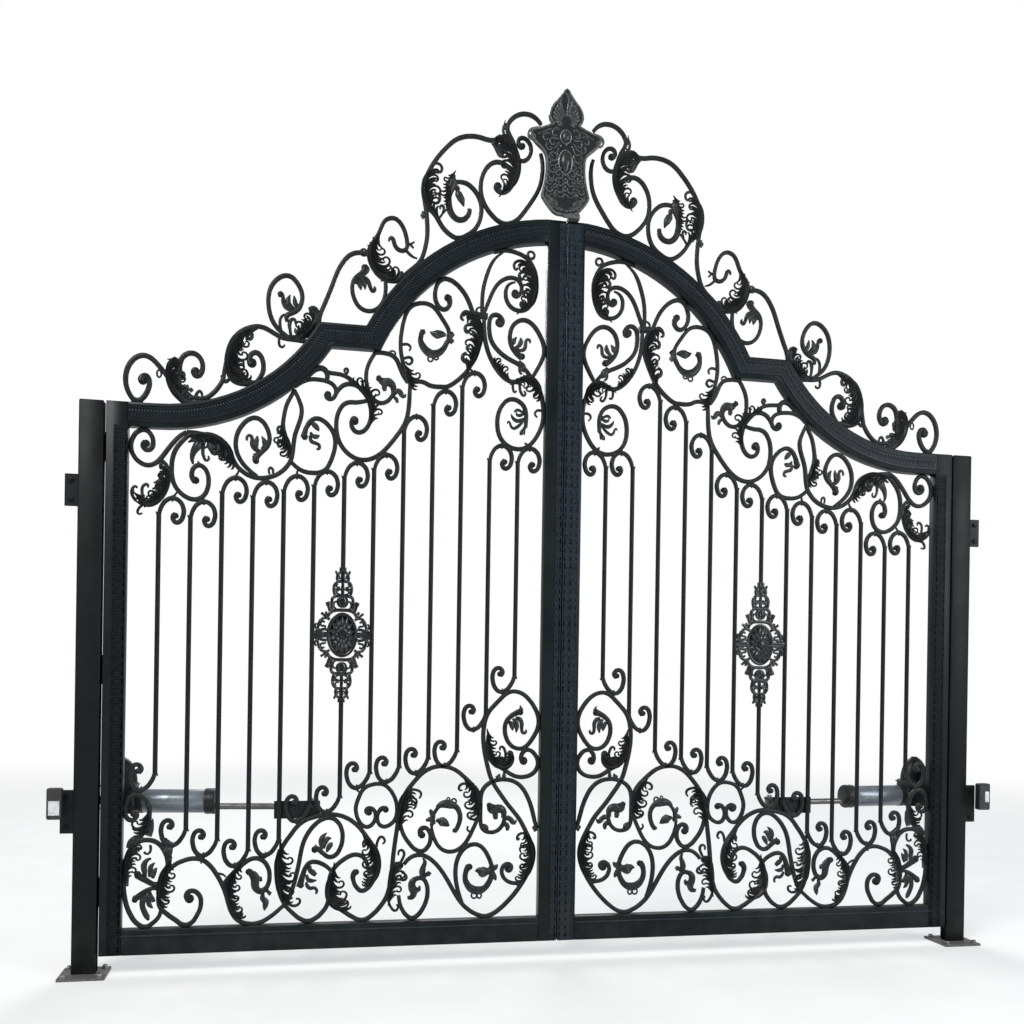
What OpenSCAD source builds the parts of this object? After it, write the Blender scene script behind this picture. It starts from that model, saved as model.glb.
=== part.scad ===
// Wrought iron double driveway gate with arched top rails, scrollwork and swing operators.
// Units are millimetres. X runs along the gate, Y from the street to the yard, Z up.
// The origin is the middle of the underside of the left post's base plate.

/* [Opening] */
// Clear width between the two posts
opening_w = 3614; // [3560:2:3680]
// Gap between a post and its leaf
hinge_gap = 8; // [6:1:12]
// Gap between the two closed leaves
meeting_gap = 8; // [6:1:10]
// Height of the leaves above the base plates' upper face
ground_gap = 65; // [55:5:90]

/* [Leaf frame] */
// Depth of the frame tubes from front to back
leaf_d = 50; // [46:2:56]
// Width of the hinge stile
stile_w = 80; // [76:2:84]
// Width of each meeting stile
meeting_w = 74; // [72:1:76]
// Depth of the top rail, measured across it
rail_h = 92; // [91:1:95]
// Height of the bottom rail
bottom_h = 98; // [97:1:102]
// Height of the leaf at its hinge end
leaf_h = 2122; // [2100:2:2150]

/* [Ironwork] */
// Diameter of the round upright bars
bar_d = 16; // [15:0.5:17]
// Width of the scroll strips, seen from the front
strip_w = 13; // [12:0.5:14]
// Depth of the scroll strips from front to back
strip_d = 14; // [12:1:16]
// Thickness of the cast leaves laid on the strips
leaf_t = 6; // [4:1:8]
// How far the pressed bands stand off the frame
band_t = 3; // [2:0.5:4]

/* [Posts] */
// Width of a post, seen from the front
post_w = 90; // [80:2:100]
// Side of the square base plates
plate_w = 170; // [150:5:200]
// Thickness of the base plates
plate_t = 10; // [8:1:14]

/* [Operators] */
// Diameter of the operator tube
ram_d = 90; // [84:1:96]
// Diameter of the steel rod
rod_d = 26; // [22:1:28]
// Height of the operator above the leaf's underside
ram_z = 575; // [565:5:585]

/* [Hidden] */
$fn = 48;
black = [0.09, 0.11, 0.11];
steel = [0.62, 0.66, 0.70];

// Places along a leaf are given as u, the distance from the middle of the gate.
post_in = opening_w / 2;
post_mid = post_in + post_w / 2;
leaf_out = post_in - hinge_gap;
stile_in = leaf_out - stile_w;
leaf_in = meeting_gap / 2;
meeting_in = leaf_in + meeting_w;
mid_y = leaf_d / 2;
foot_z = -ground_gap - plate_t;

// The pattern is drawn for a 1799 mm half opening and a 2122 mm hinge end, and follows both.
ku = leaf_out / 1799;
kz = leaf_h / 2122;
function at(p) = [p[0] * ku, p[1] * kz];
function reverse(v) = [for (i = [len(v) - 1:-1:0]) v[i]];

// The top rail's upper edge: level, a hollow arc, a level step, then a quarter arch.
hollow_c = [1620, 2820];
hollow_r = 698;
step_z = 2487;
arch_c = [0, 2070];
arch_r = 920;
function rail_edge(d) = let (
    t1 = acos((hollow_c[1] - step_z + d) / (hollow_r + d)),
    s1 = acos((step_z - d - arch_c[1]) / (arch_r - d)),
    s0 = asin(meeting_in / ku / (arch_r - d)))
    [for (p = concat([[stile_in / ku, hollow_c[1] - hollow_r - d]],
        [for (i = [0:14]) hollow_c + (hollow_r + d) * [-sin(t1 * i / 14), -cos(t1 * i / 14)]],
        [for (i = [0:18]) arch_c + (arch_r - d)
            * [sin(s1 + (s0 - s1) * i / 18), cos(s1 + (s0 - s1) * i / 18)]]))
        at(p)];
module rail_slice(d1, d2) polygon(concat(rail_edge(d1), reverse(rail_edge(d2))));
stile_top = rail_edge(0)[34][1];
hinge_top = rail_edge(0)[0][1];

// The clear space inside a leaf's frame, where the scrollwork may lie.
module opening_shape() polygon(concat([[meeting_in, bottom_h], [stile_in, bottom_h]],
    rail_edge(rail_h)));
// The space above the top rail.
module above_shape() polygon(concat([[meeting_in, 3800], [stile_in + stile_w, 3800],
    [stile_in + stile_w, hinge_top]], rail_edge(0)));

// Smooth curve through hand-placed points.
function blend(a, b, c, d, t) = 0.5 * (2 * b + (c - a) * t
    + (2 * a - 5 * b + 4 * c - d) * t * t + (3 * b - a - 3 * c + d) * t * t * t);
function smooth(p, k = 2) = let (n = len(p) - 1) concat(
    [for (i = [0:n - 1]) for (j = [0:k - 1])
        blend(p[max(i - 1, 0)], p[i], p[i + 1], p[min(i + 2, n)], j / k)], [p[n]]);
function heading(p, i) = let (a = p[max(i - 1, 0)], b = p[min(i + 1, len(p) - 1)])
    atan2(b[1] - a[1], b[0] - a[0]);
function aside(p, i, d) = p[i] + d * [-sin(heading(p, i)), cos(heading(p, i))];

// Width of a strip: it narrows over its last four points towards both ends.
function thin(i, n, w) = w * (0.72 + 0.28 * min(1, min(i, n - i) / 4));
// End of a strip: flat where r is 0, or else an eye of radius r at point i.
function tip(p, i, r, w, turn) = let (a = 180 - asin(min(1, w / 2 / max(r, w / 2))),
    h = heading(p, i) + turn)
    r == 0 ? [for (k = [1, -1]) p[i] + w / 2 * k * [-sin(h), cos(h)]]
    : [for (k = [0:6]) p[i] + r * [cos(h + a - a * k / 3), sin(h + a - a * k / 3)]];
// Outline of a bent strip through points p, with end eyes of radius r0 and r1.
function strip_outline(p, w, r0, r1) = let (n = len(p) - 1, e = 0.72 * w,
    keep = [for (i = [1:n - 1]) if (norm(p[i] - p[0]) > r0 + 1 || i > 4)
        if (norm(p[i] - p[n]) > r1 + 1 || i < n - 4) i])
    concat([for (i = keep) aside(p, i, thin(i, n, w) / 2)], tip(p, n, r1, e, 0),
        [for (i = reverse(keep)) aside(p, i, -thin(i, n, w) / 2)], tip(p, 0, r0, e, 180));
module strip(points, r0 = 0, r1 = 0, w = strip_w)
    polygon(strip_outline([for (q = smooth(points)) at(q)], w, r0, r1));
// Cast leaf along a spine: w is its width, to the left of the spine, or to the right below 0.
module leaf(points, w) {
    p = [for (q = smooth(points)) at(q)];
    n = len(p) - 1;
    polygon(concat([for (i = [0:n]) aside(p, i, -5 * sign(w) * min(1, i, n - i))],
        [for (i = [n - 1:-1:1]) aside(p, i, w * min(1, (i + 1) / 3, (n - i + 1) / 3)
            * (i % 2 == 0 ? 1 : 0.62))]));
}

// Places of the thirteen bars and the lowest and highest points of their hooks.
bar_u = [for (i = [0:12]) 1604.5 - 117.9 * i];
low_z = [633, 416, 375, 333, 372, 506, 541, 637, 660, 695, 725, 873, 1030];
high_z = [1764, 1756, 1856, 1845, 1875, 1900, 1941, 1979, 2142, 2253, 2336, 2045, 2040];
low_hook = [[0, 70], [2, 60], [14, 29], [37, 5], [60, 0], [79, 13], [91, 44], [91, 72], [82, 93],
    [66, 99], [52, 90], [50, 72], [60, 62]];
high_hook = [[0, 65], [8, 34], [29, 8], [52, 0], [78, 10], [91, 38], [91, 65], [79, 89], [65, 95],
    [51, 80], [54, 63], [62, 62]];
module low_hooks() for (i = [0:12])
    strip([for (q = low_hook) [bar_u[i] + q[0], low_z[i] + q[1]]], 0, 9);
module high_hooks() for (i = [0:12])
    strip([for (q = high_hook) [bar_u[i] - q[0], high_z[i] - q[1]]], 0, 9);
// The seats of the bars' ends, which every strip is cut back from.
module bar_seats(z, down) for (i = [0:12])
    translate([bar_u[i] * ku - bar_d / 2 - 0.3, z[i] * kz - (down ? 14 : 0)])
        square([bar_d + 0.6, 14]);

// Bent strips of the panel below the bars, each as [start eye, end eye, width, points].
lower_strips = [
    [0, 9, 13, [[1575, 164], [1578, 145], [1605, 118], [1632, 104], [1655, 112], [1690, 156],
        [1709, 214], [1713, 291], [1708, 350], [1692, 405], [1662, 433], [1620, 437], [1590, 427],
        [1565, 397], [1553, 355], [1553, 330], [1562, 300], [1580, 270], [1601, 268], [1630, 283],
        [1667, 306]]],
    [0, 8, 11, [[1582, 246], [1600, 253], [1625, 248], [1650, 230], [1675, 210]]],
    [12, 0, 13, [[1471, 202], [1486, 222], [1460, 243], [1434, 224], [1424, 186], [1440, 145],
        [1468, 108], [1490, 106], [1520, 130], [1555, 153], [1577, 175], [1584, 204], [1580, 242],
        [1570, 280], [1550, 317], [1526, 342], [1494, 354], [1463, 364], [1425, 361], [1394, 335],
        [1368, 298], [1345, 257], [1330, 218], [1322, 185], [1308, 150], [1285, 118], [1250, 105],
        [1200, 106], [1163, 128], [1112, 170]]],
    [0, 9, 13, [[1346, 254], [1328, 282], [1308, 303], [1284, 320], [1262, 345], [1228, 363],
        [1195, 353], [1173, 325], [1166, 290], [1172, 255], [1187, 232], [1205, 228], [1220, 242],
        [1228, 270], [1232, 295], [1245, 312]]],
    [0, 0, 9, [[1178, 240], [1172, 222], [1160, 216]]],
    [0, 0, 9, [[1190, 226], [1188, 200], [1182, 165]]],
    [0, 8, 13, [[1104, 170], [1125, 210], [1135, 270], [1136, 330], [1128, 385], [1112, 412],
        [1085, 452], [1060, 487], [1035, 506], [1000, 519], [955, 529], [908, 530], [869, 516],
        [831, 492], [804, 462], [785, 433], [761, 405], [746, 368], [739, 333], [744, 295], [761, 258],
        [785, 229], [804, 222], [823, 236], [837, 262], [840, 290], [826, 302]]],
    [0, 9, 13, [[1104, 172], [1085, 206], [1074, 250], [1062, 295], [1053, 335], [1046, 378],
        [1038, 418], [1019, 457], [992, 491], [961, 513], [931, 517], [904, 502], [887, 471],
        [883, 433], [892, 395], [911, 368], [935, 358], [961, 376], [981, 399], [996, 393]]],
    [9, 0, 13, [[1048, 250], [1035, 294], [1027, 321], [1011, 339], [990, 343], [961, 333], [938, 318],
        [924, 302]]],
    [0, 0, 13, [[1104, 170], [1075, 142], [1046, 118], [1015, 105], [985, 118], [958, 144], [940, 168],
        [934, 200], [935, 240], [932, 270], [924, 302], [900, 333], [873, 350], [854, 363], [831, 369],
        [808, 363], [792, 348], [782, 325], [778, 300]]],
    [0, 0, 13, [[936, 195], [905, 160], [862, 136], [838, 118], [811, 106], [785, 107], [758, 128],
        [731, 155], [706, 190], [696, 225], [688, 268], [683, 314], [679, 368], [673, 414], [668, 452],
        [664, 490], [660, 530]]],
    [0, 9, 13, [[636, 325], [617, 348], [590, 361], [563, 361], [540, 352], [513, 333], [486, 302],
        [463, 268], [440, 229], [417, 188], [394, 160], [371, 136], [332, 114], [301, 106], [271, 112],
        [232, 138], [198, 171], [171, 202], [151, 229], [128, 268], [109, 306], [101, 345], [101, 379],
        [113, 414], [128, 445], [144, 475], [163, 510], [186, 537], [209, 562], [240, 608], [267, 645],
        [282, 672], [294, 714], [304, 752], [313, 798], [317, 845], [314, 885], [305, 929], [290, 952],
        [271, 975], [248, 998], [225, 1021], [205, 1030], [178, 1031], [151, 1021], [125, 998],
        [104, 968], [90, 940], [84, 910], [88, 875], [104, 850], [120, 823], [138, 804], [160, 796],
        [182, 799], [205, 814], [221, 841], [227, 879], [221, 906], [205, 929], [182, 941],
        [162, 950]]],
    [0, 9, 13, [[394, 160], [405, 191], [417, 229], [423, 271], [423, 310], [415, 345], [401, 371],
        [378, 394], [351, 402], [325, 397], [305, 378], [290, 352], [278, 325], [271, 298], [275, 268],
        [290, 241], [309, 218], [332, 208], [355, 218], [375, 241], [382, 271], [379, 298],
        [367, 314]]],
    [0, 12, 12, [[150, 232], [167, 240], [190, 239], [213, 252], [229, 275], [230, 298], [218, 317],
        [199, 319], [190, 305], [200, 293]]],
    [9, 0, 13, [[1682, 545], [1669, 541], [1674, 522], [1690, 516], [1706, 525], [1713, 548],
        [1712, 575], [1700, 600], [1672, 617], [1640, 600], [1626, 565], [1623, 530], [1628, 500],
        [1636, 480], [1650, 455], [1675, 430]]],
    [0, 0, 12, [[340, 495], [355, 464], [371, 429], [390, 402], [413, 383], [440, 374], [467, 377],
        [490, 391], [509, 418], [521, 452], [525, 483], [520, 495]]],
    [0, 5, 10, [[515, 488], [520, 515], [510, 540], [488, 563], [463, 577], [440, 574], [421, 550],
        [409, 521], [411, 487], [420, 470], [432, 456]]],
    [0, 10, 13, [[660, 530], [648, 470], [640, 450], [617, 414], [590, 384], [563, 377], [540, 394],
        [529, 425], [532, 456], [555, 477], [573, 462], [567, 440]]],
    [0, 8, 12, [[323, 500], [320, 475], [308, 457], [285, 453], [263, 452], [240, 467], [225, 495],
        [224, 525], [240, 548], [265, 552], [290, 560]]],
    [0, 0, 9, [[228, 515], [205, 513], [185, 495]]],
    [0, 0, 9, [[232, 482], [215, 478], [210, 458]]],
    [0, 0, 13, [[655, 200], [650, 165], [640, 145], [622, 118], [601, 106], [580, 114], [556, 146],
        [543, 175], [537, 214], [543, 245], [558, 268], [575, 266], [592, 262], [600, 240], [595, 215],
        [603, 190], [618, 188]]],
    [0, 0, 11, [[558, 262], [555, 300], [551, 315], [563, 290]]],
    [0, 0, 9, [[555, 268], [538, 282], [528, 278]]],
    [9, 9, 12, [[779, 533], [793, 542], [781, 557], [764, 551], [754, 535], [753, 515], [762, 494],
        [781, 479], [800, 483], [819, 503], [831, 535], [831, 560], [828, 578], [818, 600], [811, 622],
        [792, 641], [769, 648], [738, 653], [719, 647], [700, 633], [684, 610], [673, 587], [667, 556],
        [668, 525], [677, 505], [688, 493], [708, 480], [727, 481], [741, 495], [746, 517], [741, 537],
        [726, 556], [709, 551]]],
    [0, 0, 13, [[660, 530], [655, 560], [643, 598], [622, 630], [603, 655], [585, 675], [571, 691],
        [540, 712], [509, 722], [478, 721], [448, 716], [421, 702], [400, 684], [378, 664], [355, 641],
        [338, 614], [330, 579], [328, 541], [332, 510], [340, 495]]],
    [0, 0, 13, [[323, 495], [322, 560], [324, 598], [313, 629], [290, 652], [255, 666], [217, 667],
        [178, 657], [151, 633], [128, 598], [109, 552], [100, 514], [93, 487], [84, 465]]],
    [11, 0, 13, [[140, 748], [145, 735], [156, 748], [155, 766], [148, 781], [132, 791], [113, 787],
        [98, 768], [84, 744], [88, 716], [110, 688], [140, 680], [178, 680], [201, 691], [225, 710],
        [255, 725], [278, 744], [296, 766], [308, 790]]],
    [0, 0, 8, [[1098, 180], [1069, 165], [1048, 178], [1048, 200], [1063, 197]]],
    [0, 0, 8, [[748, 395], [742, 425], [731, 441], [714, 430], [716, 413], [724, 410]]],
    [0, 0, 8, [[785, 436], [806, 415], [800, 398]]],
    [0, 0, 8, [[700, 195], [688, 152], [669, 137], [654, 150], [662, 165]]],
    [0, 0, 8, [[682, 305], [660, 320], [640, 350], [634, 375], [648, 385], [660, 375], [658, 362]]],
    [0, 0, 8, [[690, 262], [650, 270], [635, 258], [624, 270], [628, 288], [645, 292]]],
    [0, 0, 8, [[334, 502], [352, 505], [375, 510], [378, 530], [363, 536]]],
    [0, 0, 8, [[360, 450], [382, 462], [375, 478]]],
    [0, 0, 8, [[128, 443], [151, 448], [171, 430], [163, 414], [157, 425]]],
    [0, 0, 8, [[107, 398], [136, 395], [159, 383], [151, 364]]],
    [0, 0, 8, [[1372, 304], [1345, 303], [1333, 290]]],
    [0, 0, 8, [[622, 630], [590, 628], [572, 618], [570, 603], [578, 592]]],
    [0, 0, 8, [[634, 606], [605, 581], [592, 572], [592, 555], [602, 549]]],
    [0, 0, 8, [[358, 644], [385, 652], [405, 650], [416, 635], [410, 622], [400, 625]]],
    [0, 0, 8, [[240, 718], [226, 740], [222, 765], [226, 790], [236, 805], [247, 800], [246, 788]]],
    [0, 0, 8, [[228, 712], [217, 738], [200, 745], [193, 765], [198, 783], [209, 784], [213, 772]]],
    [0, 0, 12, [[1664, 636], [1668, 614]]],
    [0, 0, 18, [[1550, 414], [1562, 388]]],
    [0, 0, 11, [[1428, 380], [1427, 344]]],
    [0, 0, 11, [[1190, 378], [1188, 346]]],
    [0, 0, 11, [[840, 642], [812, 610]]]];

// Bent strips of the panel above the bars.
upper_strips = [
    [10, 0, 13, [[1655, 1975], [1666, 1966], [1664, 1952], [1650, 1945], [1635, 1952], [1628, 1975],
        [1638, 2008], [1659, 2022], [1682, 2016], [1703, 1993], [1712, 1955], [1700, 1922],
        [1678, 1898], [1651, 1886], [1624, 1894], [1601, 1914], [1578, 1948], [1555, 1979],
        [1524, 2014], [1505, 2024]]],
    [0, 10, 13, [[1480, 2024], [1501, 2008], [1524, 1983], [1544, 1956], [1555, 1925], [1559, 1887],
        [1557, 1848], [1548, 1814], [1528, 1791], [1505, 1771], [1478, 1763], [1455, 1768],
        [1436, 1783], [1425, 1806], [1421, 1837], [1425, 1868], [1440, 1890], [1459, 1897],
        [1475, 1888], [1484, 1868], [1482, 1845], [1470, 1833]]],
    [0, 0, 13, [[1505, 2024], [1471, 2024], [1432, 2014], [1394, 2003], [1363, 1984], [1340, 1957],
        [1332, 1930], [1317, 1906], [1294, 1883], [1263, 1865], [1232, 1859], [1201, 1863],
        [1177, 1870], [1150, 1883], [1124, 1910], [1108, 1937], [1102, 1964], [1098, 2005],
        [1094, 2037], [1086, 2060], [1078, 2085], [1072, 2112], [1067, 2143], [1080, 2175],
        [1098, 2215]]],
    [0, 10, 12, [[1098, 2228], [1067, 2250], [1040, 2262], [1005, 2262], [971, 2259], [948, 2247],
        [936, 2228], [938, 2205], [953, 2187], [970, 2194], [972, 2208]]],
    [0, 0, 16, [[1098, 2230], [1067, 2251], [1040, 2285], [1009, 2308], [986, 2308], [968, 2285],
        [972, 2262]]],
    [0, 0, 12, [[1096, 2218], [1112, 2185], [1124, 2165], [1131, 2139], [1136, 2112], [1140, 2082],
        [1138, 2060], [1130, 2035], [1118, 2005], [1103, 1970]]],
    [9, 0, 13, [[1246, 1925], [1240, 1946], [1219, 1963], [1199, 1984], [1191, 2010], [1195, 2035],
        [1203, 2060], [1220, 2083], [1245, 2096], [1272, 2088], [1298, 2060], [1313, 2033],
        [1319, 2002], [1319, 1971], [1309, 1941], [1290, 1910], [1267, 1888], [1238, 1866]]],
    [9, 0, 13, [[1059, 2031], [1055, 2047], [1048, 2074], [1032, 2098], [1009, 2109], [986, 2101],
        [963, 2082], [944, 2058], [936, 2028], [937, 1996], [944, 1966], [956, 1935], [970, 1908],
        [992, 1895], [1027, 1892], [1058, 1895], [1084, 1909], [1109, 1932]]],
    [11, 0, 13, [[854, 2107], [862, 2120], [871, 2108], [872, 2093], [866, 2076], [851, 2063],
        [829, 2066], [810, 2085], [799, 2112], [795, 2143], [799, 2174], [812, 2205], [825, 2228],
        [848, 2247], [875, 2254], [901, 2251], [921, 2235], [932, 2216], [938, 2205]]],
    [0, 0, 13, [[805, 2195], [830, 2188], [855, 2180], [882, 2182], [901, 2174], [921, 2147],
        [930, 2116], [932, 2082], [928, 2047], [917, 2016], [898, 1989], [875, 1970], [851, 1958],
        [821, 1953], [790, 1961], [763, 1977], [740, 1997], [713, 2028], [690, 2062], [667, 2095],
        [652, 2128], [645, 2170], [642, 2208], [641, 2245], [640, 2275]]],
    [0, 0, 12, [[985, 2302], [959, 2291], [936, 2293], [913, 2289], [886, 2278], [863, 2262],
        [840, 2243], [818, 2221]]],
    [0, 5, 12, [[782, 2388], [801, 2355], [813, 2324], [817, 2289], [813, 2254], [801, 2220],
        [782, 2197], [759, 2187], [736, 2192], [717, 2211], [707, 2235], [705, 2258], [717, 2276],
        [740, 2282], [759, 2275], [771, 2290]]],
    [0, 0, 9, [[706, 2240], [680, 2240], [665, 2222]]],
    [0, 0, 9, [[712, 2222], [705, 2215], [692, 2195]]],
    [0, 0, 13, [[785, 2386], [767, 2389], [740, 2388], [713, 2381], [694, 2366], [682, 2331],
        [667, 2301], [651, 2278]]],
    [0, 10, 13, [[640, 2275], [610, 2285], [582, 2284], [563, 2270], [540, 2268], [513, 2272],
        [490, 2268], [478, 2280], [455, 2291], [432, 2314], [417, 2330], [405, 2345], [394, 2364],
        [382, 2391], [367, 2426], [355, 2457], [351, 2488], [355, 2518], [371, 2545], [390, 2587],
        [401, 2618], [417, 2649], [440, 2677], [463, 2697], [486, 2708], [509, 2708], [528, 2698],
        [542, 2664], [544, 2634], [536, 2607], [521, 2589], [505, 2585], [488, 2595], [482, 2618],
        [490, 2638]]],
    [0, 5, 12, [[648, 2275], [660, 2320], [672, 2365], [680, 2403], [680, 2440], [678, 2475],
        [669, 2525], [656, 2565], [638, 2586], [617, 2598], [598, 2602], [571, 2601], [551, 2593],
        [528, 2568], [513, 2545], [498, 2522], [486, 2503], [484, 2470], [498, 2438], [517, 2414],
        [544, 2407], [567, 2414], [586, 2434], [600, 2453], [598, 2476], [590, 2491]]],
    [0, 0, 13, [[340, 2590], [340, 2541], [338, 2503], [332, 2464], [321, 2426], [305, 2391],
        [286, 2361], [263, 2334], [240, 2318], [217, 2311], [198, 2313], [178, 2328], [155, 2334],
        [132, 2330], [113, 2307], [98, 2272], [88, 2234], [84, 2195], [86, 2157], [94, 2130],
        [109, 2095], [128, 2068], [151, 2045], [178, 2036], [205, 2036], [232, 2045], [255, 2064],
        [271, 2091], [278, 2126], [276, 2161], [271, 2188], [255, 2214], [236, 2234], [213, 2239],
        [186, 2230], [167, 2211], [159, 2188], [157, 2157], [159, 2125]]],
    [0, 0, 12, [[348, 2570], [350, 2634], [346, 2672], [340, 2711], [328, 2749], [313, 2788],
        [294, 2818], [263, 2842]]],
    [0, 0, 12, [[302, 2838], [271, 2848], [236, 2850], [201, 2843], [174, 2830], [159, 2822],
        [140, 2795], [126, 2764], [122, 2730], [126, 2691], [136, 2653], [151, 2626], [171, 2611],
        [198, 2607], [225, 2616], [244, 2638], [251, 2668], [248, 2695], [235, 2715], [212, 2723]]],
    [0, 11, 12, [[345, 2575], [335, 2600], [321, 2634], [305, 2676], [286, 2707], [259, 2730],
        [232, 2739], [209, 2736], [190, 2722], [184, 2695], [194, 2672], [209, 2664], [218, 2676]]],
    [10, 0, 13, [[284, 2552], [272, 2539], [261, 2552], [267, 2568], [282, 2580], [298, 2580],
        [313, 2568], [319, 2545], [316, 2511], [313, 2484], [301, 2461], [282, 2438], [259, 2418],
        [232, 2403], [205, 2391], [182, 2379], [165, 2365], [150, 2350], [136, 2332]]],
    [9, 0, 13, [[178, 2414], [198, 2426], [213, 2441], [225, 2461], [230, 2484], [230, 2511],
        [221, 2538], [205, 2557], [182, 2568], [163, 2568], [140, 2557], [121, 2538], [105, 2511],
        [90, 2480], [84, 2449], [92, 2414], [109, 2380], [125, 2349], [136, 2330]]],
    [0, 0, 11, [[1554, 1766], [1534, 1793]]],
    [0, 0, 11, [[1438, 1757], [1458, 1771]]],
    [0, 0, 12, [[1320, 1856], [1304, 1890]]],
    [0, 0, 12, [[1213, 1845], [1222, 1864]]],
    [0, 0, 12, [[1086, 1876], [1079, 1905]]],
    [0, 0, 12, [[846, 1941], [846, 1958]]],
    [0, 0, 12, [[491, 2252], [491, 2268]]],
    [0, 0, 12, [[376, 2334], [398, 2354]]],
    [0, 0, 24, [[326, 2571], [376, 2573]]],
    [0, 0, 8, [[388, 2582], [402, 2580], [417, 2584], [432, 2572], [434, 2557], [425, 2547]]],
    [0, 0, 8, [[369, 2545], [394, 2534], [413, 2530], [417, 2511], [402, 2501]]],
    [0, 0, 8, [[386, 2380], [403, 2382], [417, 2380], [428, 2395], [421, 2415], [411, 2417]]],
    [0, 0, 8, [[214, 2312], [217, 2280], [205, 2267], [199, 2275]]],
    [0, 0, 8, [[188, 2322], [186, 2295], [182, 2270], [169, 2253], [158, 2268], [168, 2277]]],
    [0, 0, 8, [[88, 2200], [115, 2203], [121, 2180], [110, 2170]]],
    [0, 0, 8, [[129, 2768], [163, 2768], [186, 2768], [196, 2753], [182, 2736]]],
    [0, 0, 8, [[165, 2613], [184, 2622], [186, 2642], [176, 2645], [172, 2634]]],
    [0, 0, 8, [[348, 2574], [375, 2584], [371, 2599], [355, 2609]]],
    [0, 0, 8, [[681, 2426], [670, 2429], [650, 2433], [638, 2420], [645, 2405]]],
    [0, 0, 8, [[680, 2370], [660, 2373], [643, 2383], [632, 2370], [637, 2355], [652, 2350],
        [660, 2362]]],
    [0, 0, 8, [[902, 2288], [886, 2306], [895, 2318], [908, 2306], [898, 2296]]],
    [0, 0, 11, [[1601, 1912], [1597, 1905], [1575, 1890], [1572, 1860], [1580, 1820], [1600, 1780],
        [1640, 1745], [1670, 1735], [1692, 1748]]],
    [0, 0, 8, [[1660, 1738], [1685, 1715], [1680, 1695], [1665, 1700]]],
    [0, 0, 8, [[1690, 1748], [1706, 1772], [1698, 1790]]]];

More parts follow.
